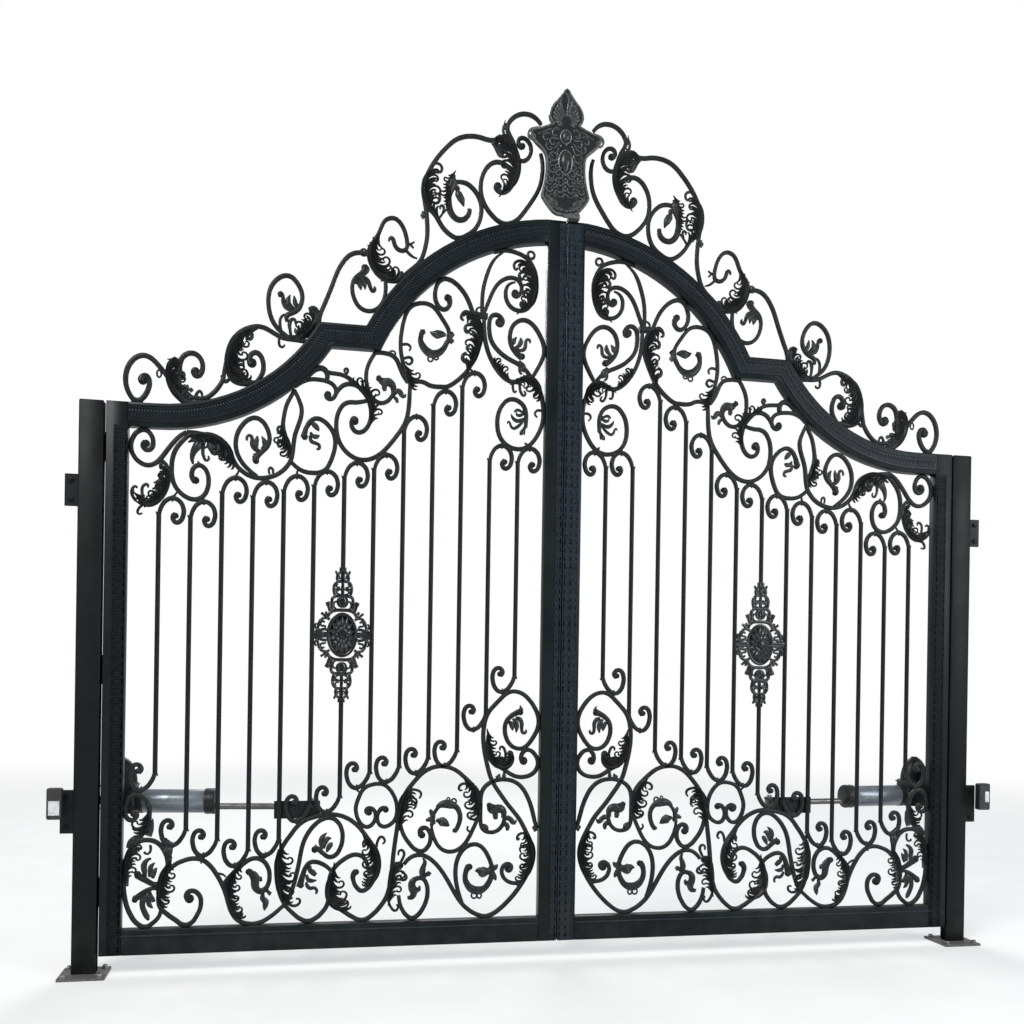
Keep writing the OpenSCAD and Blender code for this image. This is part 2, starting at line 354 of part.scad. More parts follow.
// Bent strips that stand on the top rail.
crest_strips = [
    [0, 12, 13, [[112, 3384], [127, 3402], [147, 3415], [173, 3421], [204, 3417], [232, 3397],
        [248, 3375], [256, 3348], [247, 3330], [233, 3306], [222, 3275], [212, 3236], [209, 3200],
        [215, 3158], [232, 3123], [250, 3095], [273, 3086], [292, 3095], [298, 3110]]],
    [0, 0, 13, [[214, 3158], [234, 3178], [252, 3197], [268, 3205], [286, 3209], [304, 3207],
        [327, 3195], [345, 3168], [357, 3141], [362, 3109], [361, 3073], [351, 3041], [332, 3009],
        [310, 2986], [286, 2968], [262, 2958], [232, 2966], [205, 2982], [186, 3008], [159, 3045],
        [138, 3079], [120, 3112], [110, 3145], [105, 3180], [104, 3210], [106, 3240], [113, 3264]]],
    [0, 9, 12, [[213, 3232], [193, 3223], [170, 3234], [157, 3256], [154, 3285], [165, 3307],
        [184, 3321], [200, 3318], [209, 3303], [204, 3288], [190, 3282]]],
    [0, 0, 13, [[222, 3266], [236, 3291], [259, 3309], [286, 3310], [313, 3291], [341, 3298],
        [373, 3304], [409, 3302], [445, 3293], [473, 3277], [500, 3250], [533, 3212], [554, 3181],
        [573, 3146], [588, 3111], [594, 3085], [596, 3046], [592, 3019], [586, 2992], [581, 2931],
        [579, 2892], [581, 2865], [586, 2835], [592, 2808], [602, 2781], [613, 2762], [631, 2744],
        [650, 2728], [673, 2706], [690, 2690]]],
    [0, 0, 13, [[580, 2990], [561, 2977], [546, 2963], [534, 2944], [521, 2923], [504, 2906],
        [485, 2892], [461, 2880], [438, 2884], [415, 2899], [396, 2911], [381, 2927], [369, 2950],
        [363, 2969], [359, 2992], [359, 3015], [361, 3034], [371, 3058], [383, 3077], [400, 3094],
        [415, 3104], [429, 3109], [450, 3111], [474, 3108]]],
    [0, 0, 15, [[474, 3136], [486, 3110], [492, 3080], [492, 3046], [492, 3023], [488, 3000],
        [481, 2981], [469, 2965], [454, 2957], [438, 2957], [423, 2965], [413, 2977], [408, 2992],
        [408, 3004]]],
    [0, 0, 8, [[534, 2950], [515, 2981], [490, 3004]]],
    [0, 0, 8, [[517, 2978], [511, 3000], [521, 3007], [530, 3002], [528, 2992]]],
    [0, 0, 12, [[492, 3092], [466, 3088], [452, 3064], [438, 3034]]],
    [0, 0, 13, [[1006, 2480], [1003, 2514], [998, 2534], [988, 2557], [977, 2588], [965, 2618],
        [954, 2649], [942, 2684], [931, 2711], [915, 2738], [900, 2759], [883, 2773], [865, 2781],
        [846, 2783], [827, 2782], [806, 2776]]],
    [0, 0, 12, [[808, 2788], [804, 2818], [790, 2842], [777, 2861], [769, 2884], [758, 2911],
        [746, 2925], [731, 2933], [715, 2935], [700, 2929], [685, 2913], [673, 2892], [667, 2873],
        [661, 2846], [660, 2827], [666, 2813], [681, 2807], [696, 2811], [708, 2823], [713, 2835],
        [716, 2848], [724, 2856], [733, 2851], [734, 2840]]],
    [0, 0, 16, [[806, 2790], [805, 2761], [789, 2726], [765, 2699], [742, 2688], [715, 2684],
        [692, 2690], [683, 2706], [684, 2722]]],
    [0, 0, 8, [[662, 2838], [646, 2836], [631, 2848]]],
    [0, 0, 8, [[648, 2836], [640, 2828], [634, 2822]]],
    [0, 0, 9, [[664, 2810], [646, 2792], [631, 2785], [618, 2782]]],
    [0, 9, 12, [[746, 2686], [745, 2668], [744, 2649], [746, 2626], [752, 2598], [765, 2578],
        [781, 2562], [800, 2554], [819, 2553], [838, 2559], [854, 2572], [865, 2589], [873, 2611],
        [877, 2630], [877, 2653], [871, 2672], [861, 2686], [846, 2699], [833, 2711], [826, 2726]]],
    [0, 0, 10, [[872, 2668], [857, 2664], [848, 2652], [844, 2638]]],
    [0, 0, 11, [[866, 2680], [845, 2678], [832, 2662], [826, 2640]]],
    [0, 0, 10, [[852, 2692], [828, 2686], [814, 2668], [806, 2645], [795, 2636], [787, 2644],
        [790, 2654]]],
    [0, 0, 13, [[1371, 2246], [1367, 2273], [1361, 2300], [1355, 2331], [1350, 2358], [1340, 2385],
        [1327, 2408], [1311, 2427], [1292, 2439], [1273, 2447], [1254, 2454], [1227, 2455],
        [1204, 2446], [1177, 2432], [1154, 2420], [1131, 2416], [1108, 2415], [1085, 2414],
        [1066, 2410], [1050, 2412]]],
    [0, 7, 18, [[1110, 2420], [1069, 2426], [1045, 2450], [1026, 2478], [1013, 2508], [1018, 2532],
        [1030, 2540], [1038, 2530]]],
    [0, 0, 13, [[1120, 2420], [1146, 2436], [1165, 2453], [1181, 2472], [1192, 2495], [1200, 2522],
        [1203, 2549], [1203, 2576], [1198, 2603], [1188, 2626], [1173, 2645], [1154, 2660],
        [1134, 2665], [1115, 2661], [1100, 2647], [1085, 2626], [1075, 2603], [1073, 2580],
        [1077, 2557], [1085, 2541], [1096, 2528], [1111, 2518], [1127, 2512], [1134, 2498],
        [1130, 2484]]],
    [0, 6, 9, [[1100, 2524], [1115, 2536], [1135, 2541], [1144, 2557], [1146, 2576], [1150, 2592],
        [1159, 2594], [1162, 2586]]],
    [0, 0, 10, [[1100, 2532], [1119, 2549], [1127, 2572], [1120, 2590]]],
    [0, 0, 10, [[1084, 2545], [1096, 2557], [1106, 2572], [1104, 2588]]],
    [0, 0, 9, [[1112, 2420], [1119, 2449], [1119, 2480], [1111, 2493], [1102, 2493], [1100, 2484]]],
    [0, 0, 9, [[1152, 2440], [1159, 2470], [1155, 2495], [1145, 2510], [1130, 2512]]],
    [0, 0, 8, [[1276, 2446], [1265, 2427], [1267, 2411], [1277, 2405], [1284, 2411]]],
    [0, 0, 8, [[1158, 2422], [1162, 2399], [1156, 2384], [1144, 2381], [1138, 2392]]],
    [12, 0, 14, [[1677, 2211], [1672, 2227], [1659, 2232], [1649, 2222], [1646, 2206], [1648, 2188],
        [1656, 2166], [1667, 2148], [1685, 2134], [1702, 2136], [1717, 2155], [1729, 2181],
        [1733, 2208], [1732, 2234], [1725, 2261], [1711, 2284], [1692, 2302], [1669, 2309],
        [1646, 2303], [1629, 2290], [1613, 2273], [1600, 2259], [1588, 2244], [1577, 2226]]],
    [0, 0, 12, [[1712, 2127], [1668, 2127]]],
    [0, 0, 20, [[1578, 2240], [1573, 2215], [1561, 2192], [1546, 2171], [1527, 2152], [1504, 2137],
        [1481, 2133], [1454, 2138], [1438, 2140]]],
    [0, 0, 9, [[1572, 2240], [1570, 2284], [1557, 2303], [1545, 2305], [1532, 2294]]],
    [0, 0, 13, [[1510, 2140], [1492, 2162], [1473, 2156], [1450, 2156], [1431, 2163], [1411, 2179],
        [1394, 2198], [1381, 2219], [1371, 2240], [1368, 2256]]],
    [0, 0, 8, [[1472, 2156], [1469, 2181], [1459, 2185], [1450, 2177], [1449, 2156]]],
    [0, 0, 11, [[1378, 2228], [1356, 2232], [1346, 2245], [1344, 2262]]],
    [0, 12, 14, [[1540, 2170], [1536, 2220], [1535, 2262], [1533, 2292], [1525, 2311], [1511, 2325],
        [1492, 2331], [1473, 2327], [1459, 2313], [1451, 2296], [1449, 2277], [1454, 2257],
        [1465, 2244], [1477, 2246], [1482, 2262]]],
    [0, 0, 18, [[1356, 2290], [1352, 2272], [1343, 2250], [1330, 2238], [1310, 2230], [1288, 2229],
        [1262, 2230], [1246, 2232]]],
    [0, 13, 14, [[1250, 2230], [1231, 2254], [1221, 2277], [1219, 2300], [1223, 2323], [1231, 2342],
        [1246, 2352], [1261, 2348], [1271, 2334], [1273, 2315], [1266, 2304]]]];

// Cast leaves, each as [width, points of its spine].
lower_leaves = [
    [-35, [[1550, 350], [1575, 300], [1583, 230], [1577, 175]]],
    [-30, [[1285, 335], [1318, 290], [1328, 240], [1320, 190], [1300, 140], [1265, 118]]],
    [-45, [[1131, 398], [1136, 330], [1130, 250], [1108, 175]]],
    [40, [[785, 433], [761, 405], [746, 368], [739, 333], [744, 295], [761, 258], [785, 229]]],
    [-45, [[924, 304], [932, 270], [935, 235], [934, 195], [905, 160], [865, 138]]],
    [35, [[696, 190], [688, 268], [680, 325], [655, 345]]],
    [40, [[660, 490], [655, 560], [643, 598], [617, 640]]],
    [40, [[378, 664], [355, 641], [338, 614], [330, 579], [328, 541], [332, 510]]],
    [35, [[128, 445], [113, 414], [101, 379], [101, 345], [109, 306], [128, 268], [150, 240]]],
    [-32, [[317, 860], [313, 800], [304, 752]]],
    [-30, [[296, 768], [255, 725], [225, 712]]],
    [30, [[1712, 291], [1707, 350], [1692, 405], [1662, 433]]],
    [38, [[1623, 530], [1628, 490], [1650, 450]]]];
upper_leaves = [
    [38, [[1432, 2014], [1394, 2003], [1363, 1984], [1340, 1957]]],
    [33, [[1138, 2060], [1130, 2030], [1118, 2000], [1105, 1955]]],
    [33, [[799, 2112], [795, 2143], [799, 2174], [812, 2205], [848, 2247], [890, 2252]]],
    [-32, [[660, 2330], [645, 2290], [640, 2250]]],
    [-33, [[382, 2391], [355, 2457], [351, 2488], [371, 2545], [388, 2585]]],
    [33, [[205, 2312], [178, 2328], [132, 2330], [105, 2295], [90, 2240]]],
    [-33, [[150, 2790], [126, 2760], [122, 2730], [136, 2653]]],
    [-26, [[1600, 1780], [1640, 1745], [1670, 1735], [1692, 1748]]],
    [-34, [[1098, 2230], [1067, 2251], [1040, 2285], [1009, 2304]]],
    [26, [[240, 2318], [263, 2334], [286, 2361], [305, 2391]]]];
crest_leaves = [
    [46, [[259, 3309], [236, 3291], [222, 3264], [211, 3227], [209, 3191], [216, 3154], [230, 3125]]],
    [-40, [[570, 3150], [588, 3111], [595, 3060], [592, 3019], [584, 2985]]],
    [-46, [[790, 2842], [806, 2800], [804, 2761], [788, 2726], [765, 2699], [742, 2688], [712, 2686]]],
    [-40, [[1090, 2420], [1069, 2426], [1045, 2450], [1026, 2478], [1013, 2508]]],
    [-44, [[1311, 2425], [1340, 2385], [1355, 2330], [1356, 2290], [1344, 2252], [1320, 2234],
        [1290, 2230]]],
    [-36, [[1575, 2232], [1561, 2192], [1546, 2171], [1527, 2152], [1504, 2139], [1475, 2136]]],
    [22, [[474, 3134], [490, 3090], [492, 3046], [486, 2995]]]];

module placed() translate([post_mid, -mid_y, -foot_z]) children();
// A leaf is drawn for the right side, where u is X, and mirrored for the left side.
module sided(left) {
    if (left) placed() mirror([1, 0, 0]) children();
    else placed() children();
}
module sheet(y0, t) translate([0, y0 + t, 0]) rotate([90, 0, 0]) linear_extrude(t) children();
module block(a, b) translate(a) cube(b - a);

// Posts, plates and photocells.
module post(left) color(black) sided(left)
    block([post_in, 0, -ground_gap], [post_in + post_w, leaf_d, leaf_h]);
module base_plate(left) color(black) sided(left) difference() {
    block([post_mid - plate_w / 2, mid_y - plate_w / 2, foot_z],
        [post_mid + plate_w / 2, mid_y + plate_w / 2, -ground_gap]);
    for (x = [-1, 1]) for (y = [-1, 1])
        translate([post_mid + x * (plate_w / 2 - 20), mid_y + y * (plate_w / 2 - 20), foot_z - 1])
            cylinder(d = 14, h = plate_t + 2);
}
wall_low = 470;
wall_high = 1715;
module wall_plates(left) color(black) sided(left) {
    block([post_in + post_w, 10, wall_high], [post_in + post_w + 48, 22, wall_high + 122]);
    block([post_in + post_w, 10, wall_low], [post_in + post_w + 48, 22, wall_low + 165]);
}
module photocell(left) color(black) sided(left) {
    block([post_in + post_w + 8, -14, wall_low + 88], [post_in + post_w + 40, 10, wall_low + 112]);
    block([post_in + post_w + 30, -52, wall_low + 60], [post_in + post_w + 85, -14,
        wall_low + 178]);
}

// Hinges behind the gap: a fixed half with its pin on the post, a bored half on the stile.
hinge_u = post_in - hinge_gap / 2;
hinge_y = leaf_d + 14;
hinge_r = 12;
hinge_z = [180, 1040, 1900];
module post_hinges(left) color(black) sided(left) for (z = hinge_z) {
    block([hinge_u + 4, leaf_d, z], [hinge_u + 60, leaf_d + 7, z + 56]);
    translate([hinge_u, hinge_y, z]) cylinder(r = hinge_r, h = 56);
    translate([hinge_u, hinge_y, z]) cylinder(r = 7, h = 106);
}
module leaf_hinges(left) color(black) sided(left) for (z = hinge_z) difference() {
    union() {
        block([hinge_u - 64, leaf_d, z + 57], [hinge_u - 4, leaf_d + 7, z + 112]);
        translate([hinge_u, hinge_y, z + 57]) cylinder(r = hinge_r, h = 55);
    }
    translate([hinge_u, hinge_y, z + 56]) cylinder(r = 7.6, h = 51);
}

// Leaf frame.
module hinge_stile(left) color(black) sided(left)
    block([stile_in, 0, 0], [leaf_out, leaf_d, hinge_top]);
module meeting_stile(left) color(black) sided(left)
    block([leaf_in, 0, 0], [meeting_in, leaf_d, stile_top]);
module top_rail(left) color(black) sided(left) sheet(0, leaf_d) rail_slice(0, rail_h);
module bottom_rail(left) color(black) sided(left)
    block([meeting_in, 0, 0], [stile_in, leaf_d, bottom_h]);
bead_w = 6;
module bands_flat(t) {
    rail_slice(9, 73);
    translate([stile_in, bottom_h]) square([51, hinge_top - bottom_h - rail_h]);
    translate([leaf_in, bottom_h]) square([37, stile_top - bottom_h - 12]);
}
module beads_flat() {
    rail_slice(9, 15);
    rail_slice(67, 73);
    for (u = [stile_in, stile_in + 45]) translate([u, bottom_h])
        square([bead_w, hinge_top - bottom_h - rail_h]);
    for (u = [leaf_in, leaf_in + 31]) translate([u, bottom_h])
        square([bead_w, stile_top - bottom_h - 12]);
    translate([meeting_in, bottom_h - 26]) square([stile_in - meeting_in, bead_w]);
}
module embossed_bands(left) color(black) sided(left) {
    sheet(-band_t, band_t) bands_flat();
    sheet(-band_t - 2, band_t + 2) beads_flat();
}

// Upright bars between the hooks.
module bar(i, z0, z1) translate([bar_u[i] * ku, mid_y, z0]) cylinder(d = bar_d, h = z1 - z0);
module bars(left) color(black) sided(left) for (i = [0:12])
    if (i != 6) {
        bar(i, (low_z[i] + 70) * kz, (high_z[i] - 65) * kz);
    } else {
        bar(i, (low_z[i] + 70) * kz, rose_z * kz - rose_r);
        bar(i, rose_z * kz + rose_r, (high_z[i] - 65) * kz);
    }

// Cast rosette on the middle bar: a pierced diamond with an oval flower.
rose_z = 1249;
rose_r = 262;
rose_half = [[0, rose_r], [12, rose_r], [30, 235], [25, 215], [35, 185], [40, 150], [52, 135], [65, 120],
    [80, 90], [93, 30], [107, 0]];
module rosette(left) color(black) sided(left) translate([bar_u[6] * ku, 0, rose_z * kz]) {
    difference() {
        sheet(mid_y - 8, 16) polygon(concat(
            [for (p = rose_half) p], [for (p = reverse(rose_half)) [p[0], -p[1]]],
            [for (p = rose_half) [-p[0], -p[1]]], [for (p = reverse(rose_half)) [-p[0], p[1]]]));
        for (x = [-1, 1]) for (z = [-1, 1]) {
            translate([x * 68, 0, z * 42]) rotate([-90, 0, 0]) cylinder(r = 12, h = 60);
            translate([x * 26, 0, z * 120]) rotate([-90, 0, 0]) cylinder(r = 11, h = 60);
            translate([x * 16, 0, z * 190]) rotate([-90, 0, 0]) cylinder(r = 8, h = 60);
        }
    }
    translate([0, mid_y, 0]) scale([0.7, 0.3, 1]) sphere(r = 80);
}

module ribbons(list) for (s = list) strip(s[3], s[0], s[1], s[2] + strip_w - 13);
module panel(left) color(black) sided(left) sheet(mid_y - strip_d / 2, strip_d)
    offset(delta = -0.6) offset(delta = 0.6) children();
module lower_scrolls(left) panel(left) difference() {
    intersection() {
        opening_shape();
        union() {
            ribbons(lower_strips);
            low_hooks();
        }
    }
    bar_seats([for (z = low_z) z + 70], false);
}
module upper_scrolls(left) panel(left) difference() {
    intersection() {
        opening_shape();
        union() {
            ribbons(upper_strips);
            high_hooks();
        }
    }
    bar_seats([for (z = high_z) z - 65], true);
}
module crest_scrolls(left) panel(left) intersection() {
    above_shape();
    ribbons(crest_strips);
}
// The leaves lie on the front of the strips.
module acanthus_leaves(left) color(black) sided(left)
    sheet(mid_y - strip_d / 2 - leaf_t, leaf_t) {
        intersection() {
            opening_shape();
            union() for (s = concat(lower_leaves, upper_leaves)) leaf(s[1], s[0]);
        }
        intersection() {
            above_shape();
            union() for (s = crest_leaves) leaf(s[1], s[0]);
        }
    }

// Operator: it turns on a bracket behind the post, and its rod ends at the leaf.
ram_u = hinge_u + 65;
ram_y = hinge_y + 140;
eye_u = hinge_u - 800;
bar_back = mid_y + max(strip_d, bar_d) / 2;
eye_y = hinge_y + 70;
ram_len = norm([ram_u - eye_u, ram_y - eye_y]);
ram_turn = atan2(eye_y - ram_y, eye_u - ram_u);
rod_drop = 24;
tube_s = 176;
module operator_bracket(left) color(black) sided(left)
    for (z = [ram_z + 16.5, ram_z - 24.5]) {
        block([ram_u - 28, leaf_d, z], [ram_u + 28, ram_y, z + 8]);
        translate([ram_u, ram_y, z]) cylinder(r = 28, h = 8);
    }
module along_ram() translate([ram_u, ram_y, ram_z]) rotate([0, 0, ram_turn]) children();
module operator_housing(left) color(black) sided(left) along_ram() difference() {
    union() {
        translate([0, 0, -16]) cylinder(r = 20, h = 32);
        block([10, -14, -16], [60, 14, 16]);
        block([46, -48, -51], [tube_s, 48, 72]);
        intersection() {
            block([46, -60, 70], [tube_s, 60, 178]);
            translate([112, 0, 70]) scale([1, 0.74, 1.6]) sphere(r = 66);
        }
    }
    translate([0, 0, -20]) cylinder(r = 8.4, h = 40);
    translate([130, 0, -rod_drop]) rotate([0, 90, 0]) cylinder(d = rod_d + 1.6, h = 100);
}
module operator_tube(left) color(steel) sided(left) along_ram() difference() {
    union() {
        translate([tube_s, 0, 0]) rotate([0, 90, 0]) cylinder(d = ram_d, h = 274);
        translate([tube_s + 274, 0, 0]) rotate([0, 90, 0]) cylinder(d = ram_d + 8, h = 36);
    }
    translate([tube_s - 1, 0, -rod_drop]) rotate([0, 90, 0]) cylinder(d = rod_d + 1.6, h = 320);
}
module operator_rod(left) color(steel) sided(left) along_ram() {
    translate([350, 0, -rod_drop]) rotate([0, 90, 0]) cylinder(d = rod_d, h = ram_len - 362);
    translate([ram_len, 0, -rod_drop - 14]) cylinder(r = 20, h = 28);
}
module leaf_bracket(left) color(black) sided(left) {
    block([eye_u - 30, bar_back + 0.3, ram_z - 60], [eye_u + 150, bar_back + 8, ram_z + 10]);
    block([eye_u - 22, bar_back + 8, ram_z - 9], [eye_u + 22, eye_y, ram_z - 1]);
    translate([eye_u, eye_y, ram_z - 9]) cylinder(r = 22, h = 8);
}

// Finial over the meeting line, carried by the right leaf. It stands in front of the strips.
finial_half = [[0, 3543], [37, 3495], [65, 3459], [73, 3420], [58, 3392], [92, 3373], [150, 3352],
    [142, 3312], [96, 3268], [84, 3236], [83, 3191], [88, 3145], [101, 3091], [103, 3077],
    [87, 3050], [60, 3018], [38, 3004], [0, 3004]];
finial_y = -24;
module finial() color(black) sided(false) {
    sheet(finial_y, 20) polygon(concat([for (p = finial_half) at(p)],
        [for (p = reverse(finial_half)) at([-p[0], p[1]])]));
    block([leaf_in, finial_y, stile_top], [leaf_in + 44, mid_y + 16, at([0, 3022])[1]]);
}

post(true);  // left_post
base_plate(true);  // left_base_plate
wall_plates(true);  // left_wall_plates
photocell(true);  // left_photocell
post_hinges(true);  // left_post_hinges
operator_bracket(true);  // left_operator_bracket
hinge_stile(true);  // left_hinge_stile
meeting_stile(true);  // left_meeting_stile
top_rail(true);  // left_top_rail
bottom_rail(true);  // left_bottom_rail
embossed_bands(true);  // left_embossed_bands
leaf_hinges(true);  // left_leaf_hinges
bars(true);  // left_bars
rosette(true);  // left_rosette
lower_scrolls(true);  // left_lower_scrolls
upper_scrolls(true);  // left_upper_scrolls
crest_scrolls(true);  // left_crest_scrolls
acanthus_leaves(true);  // left_acanthus_leaves
leaf_bracket(true);  // left_leaf_bracket
operator_housing(true);  // left_operator_housing
operator_tube(true);  // left_operator_tube
operator_rod(true);  // left_operator_rod
post(false);  // right_post
base_plate(false);  // right_base_plate
wall_plates(false);  // right_wall_plates
photocell(false);  // right_photocell
post_hinges(false);  // right_post_hinges
operator_bracket(false);  // right_operator_bracket
hinge_stile(false);  // right_hinge_stile
meeting_stile(false);  // right_meeting_stile
top_rail(false);  // right_top_rail
bottom_rail(false);  // right_bottom_rail
embossed_bands(false);  // right_embossed_bands
leaf_hinges(false);  // right_leaf_hinges
bars(false);  // right_bars
rosette(false);  // right_rosette
lower_scrolls(false);  // right_lower_scrolls
upper_scrolls(false);  // right_upper_scrolls
crest_scrolls(false);  // right_crest_scrolls
acanthus_leaves(false);  // right_acanthus_leaves
leaf_bracket(false);  // right_leaf_bracket
operator_housing(false);  // right_operator_housing
operator_tube(false);  // right_operator_tube
operator_rod(false);  // right_operator_rod
finial();
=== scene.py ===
import math

import bpy
from mathutils import Matrix, Vector


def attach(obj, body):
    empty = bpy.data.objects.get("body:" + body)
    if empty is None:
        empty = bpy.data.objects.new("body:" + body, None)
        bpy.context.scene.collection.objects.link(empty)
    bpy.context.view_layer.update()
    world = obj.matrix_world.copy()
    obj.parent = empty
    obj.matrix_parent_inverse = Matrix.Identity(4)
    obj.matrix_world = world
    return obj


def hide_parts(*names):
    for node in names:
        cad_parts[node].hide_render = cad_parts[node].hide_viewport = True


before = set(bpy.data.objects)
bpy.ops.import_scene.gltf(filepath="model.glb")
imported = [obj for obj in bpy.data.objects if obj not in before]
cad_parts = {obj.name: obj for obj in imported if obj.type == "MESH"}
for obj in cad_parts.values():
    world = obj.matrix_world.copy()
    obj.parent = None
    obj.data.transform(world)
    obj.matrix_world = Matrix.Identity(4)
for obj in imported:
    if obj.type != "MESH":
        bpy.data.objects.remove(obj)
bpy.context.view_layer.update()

# Wrought iron double driveway gate with arched top rails, scrollwork and swing operators.
# A leaf is drawn in millimetres, with u as its distance from the middle of the gate, y back
# from its front face and z up from its underside. settle() then takes it to its side of the
# gate, in the frame's own metres.
MM = 0.001
SIDES = {"right": 1, "left": -1}
# The point of the frame where a leaf's own drawing has its zero.
GATE = Vector((1.852, -0.025, 0.075))
# The leaf: its depth and middle plane, its two ends, the inner edges of its stiles, and the
# post's face beside it.
LEAF_DEPTH, MIDDLE = 50, 25
LEAF_IN, LEAF_OUT, MEETING_IN, STILE_IN, POST_IN = 4, 1799, 78, 1719, 1807
# The top rail's two arcs, the level step between them, and the top of the bottom rail.
HOLLOW_C, HOLLOW_R, STEP_Z = Vector((1620, 2820)), 698, 2487
ARCH_C, ARCH_R, BOTTOM_H = Vector((0, 2070)), 920, 98
# The rosette's middle and half its height, on the bar that carries it.
ROSE_BAR, ROSE_Z, ROSE_HALF = 6, 1249, 261


# ---------------------------------------------------------------- handling of pieces
def let_go():
    """Back to object mode, with nothing selected."""
    if bpy.context.object and bpy.context.object.mode != "OBJECT":
        bpy.ops.object.mode_set(mode="OBJECT")
    bpy.ops.object.select_all(action="DESELECT")


def pick(*pieces):
    let_go()
    for piece in pieces:
        piece.select_set(True)
    bpy.context.view_layer.objects.active = pieces[0]


def edit(piece):
    pick(piece)
    bpy.ops.object.mode_set(mode="EDIT")
    bpy.ops.mesh.select_all(action="DESELECT")


def choose(piece, test, kind="FACE"):
    """Selects, in edit mode, the faces or vertices of the piece that test picks."""
    bpy.ops.mesh.select_mode(type="VERT")
    bpy.ops.mesh.select_all(action="DESELECT")
    bpy.ops.mesh.select_mode(type=kind)
    bpy.ops.object.mode_set(mode="OBJECT")
    for item in piece.data.vertices if kind == "VERT" else piece.data.polygons:
        item.select = bool(test(item))
    bpy.ops.object.mode_set(mode="EDIT")


def facing(direction, least=0.9):
    """A test for choose(): faces whose normal points along direction."""
    way = Vector(direction)
    return lambda face: face.normal.dot(way) > least


def is_end(face):
    """A test for choose(): the two ends of a round bar."""
    return len(face.vertices) > 4


def recess(piece, test, rim, move):
    """Sets the faces that test picks back or forth, inside a rim of that width."""
    edit(piece)
    choose(piece, test)
    bpy.ops.mesh.inset(thickness=rim)
    bpy.ops.transform.translate(value=move)
    let_go()


def cut_away(piece, test):
    """Deletes the vertices that test picks. The piece is in edit mode."""
    choose(piece, test, "VERT")
    bpy.ops.mesh.delete(type="VERT")


def join(name, pieces):
    pick(*pieces)
    if len(pieces) > 1:
        bpy.ops.object.join()
    whole = bpy.context.object
    whole.name = name
    whole.data.name = name
    return whole


def copy_of(piece, place):
    """A copy with its own mesh, carried by the matrix place."""
    twin = piece.copy()
    twin.data = piece.data.copy()
    twin.data.transform(place)
    bpy.context.scene.collection.objects.link(twin)
    return twin


def discard(*pieces):
    for piece in pieces:
        bpy.data.objects.remove(piece)


def smooth(piece, degrees=35):
    pick(piece)
    bpy.ops.object.shade_smooth_by_angle(angle=math.radians(degrees))


def loose_parts(mesh):
    """For each vertex, the number of the loose part that it belongs to."""
    owner = list(range(len(mesh.vertices)))

    def first(i):
        while owner[i] != i:
            owner[i] = owner[owner[i]]
            i = owner[i]
        return i

    for side in mesh.edges:
        a, b = (first(i) for i in side.vertices)
        owner[a] = b
    return [first(i) for i in range(len(owner))]


def turn_out(piece, doubles=True):
    """Closes the seams and points every face outwards, one loose part at a time."""
    edit(piece)
    bpy.ops.mesh.select_all(action="SELECT")
    if doubles:
        bpy.ops.mesh.remove_doubles(threshold=0.00001)
    bpy.ops.mesh.normals_make_consistent(inside=False)
    let_go()
    part = loose_parts(piece.data)
    inside = {number: piece.data.vertices[i].co.copy() for i, number in enumerate(part)}
    volume = dict.fromkeys(inside, 0.0)
    for face in piece.data.polygons:
        number = part[face.vertices[0]]
        volume[number] += (face.center - inside[number]).dot(face.normal) * face.area
    if min(volume.values()) < 0:
        edit(piece)
        choose(piece, lambda face: volume[part[face.vertices[0]]] < 0)
        bpy.ops.mesh.flip_normals()
        let_go()


def add_modifier(piece, kind, **settings):
    pick(piece)
    bpy.ops.object.modifier_add(type=kind)
    modifier = piece.modifiers[-1]
    for key, value in settings.items():
        setattr(modifier, key, value)
    bpy.ops.object.modifier_apply(modifier=modifier.name)


def apply_place(piece):
    pick(piece)
    bpy.ops.object.transform_apply(location=True, rotation=True, scale=True)


def settle(piece, side):
    """Takes a piece drawn in a leaf's own millimetre frame to its side of the gate."""
    piece.location = GATE
    piece.scale = (side, 1, 1)
    apply_place(piece)
    turn_out(piece, doubles=False)


def paint(piece, material):
    piece.data.materials.clear()
    piece.data.materials.append(material)


def tie(piece, material, body, node):
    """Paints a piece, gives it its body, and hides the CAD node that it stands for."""
    paint(piece, material)
    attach(piece, body)
    if node:
        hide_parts(node)


def finish_piece(piece, side, name, body, node, material, degrees=35):
    """Takes a piece to its side of the gate, paints it and ties it to the frame."""
    piece.name = side + "_" + name
    piece.data.name = piece.name
    settle(piece, SIDES[side])
    smooth(piece, degrees)
    tie(piece, material, body.format(side=side), node and side + "_" + node)


def both_sides(piece, name, body, node, material, degrees=35):
    """The piece on the right, and a mirrored copy on the left."""
    twin = copy_of(piece, Matrix.Identity(4))
    for side, mine in (("right", piece), ("left", twin)):
        finish_piece(mine, side, name, body, node, material, degrees)


# ---------------------------------------------------------------- basic shapes
def block(low, high, corner=0.0, segments=2):
    """A block between two corners, in millimetres, with its edges eased."""
    let_go()
    low, high = Vector(low) * MM, Vector(high) * MM
    bpy.ops.mesh.primitive_cube_add(size=1, location=(low + high) / 2)
    piece = bpy.context.object
    piece.scale = high - low
    apply_place(piece)
    if corner:
        edit(piece)
        bpy.ops.mesh.select_all(action="SELECT")
        bpy.ops.mesh.bevel(offset=corner * MM, segments=segments, affect="EDGES")
        let_go()
    return piece


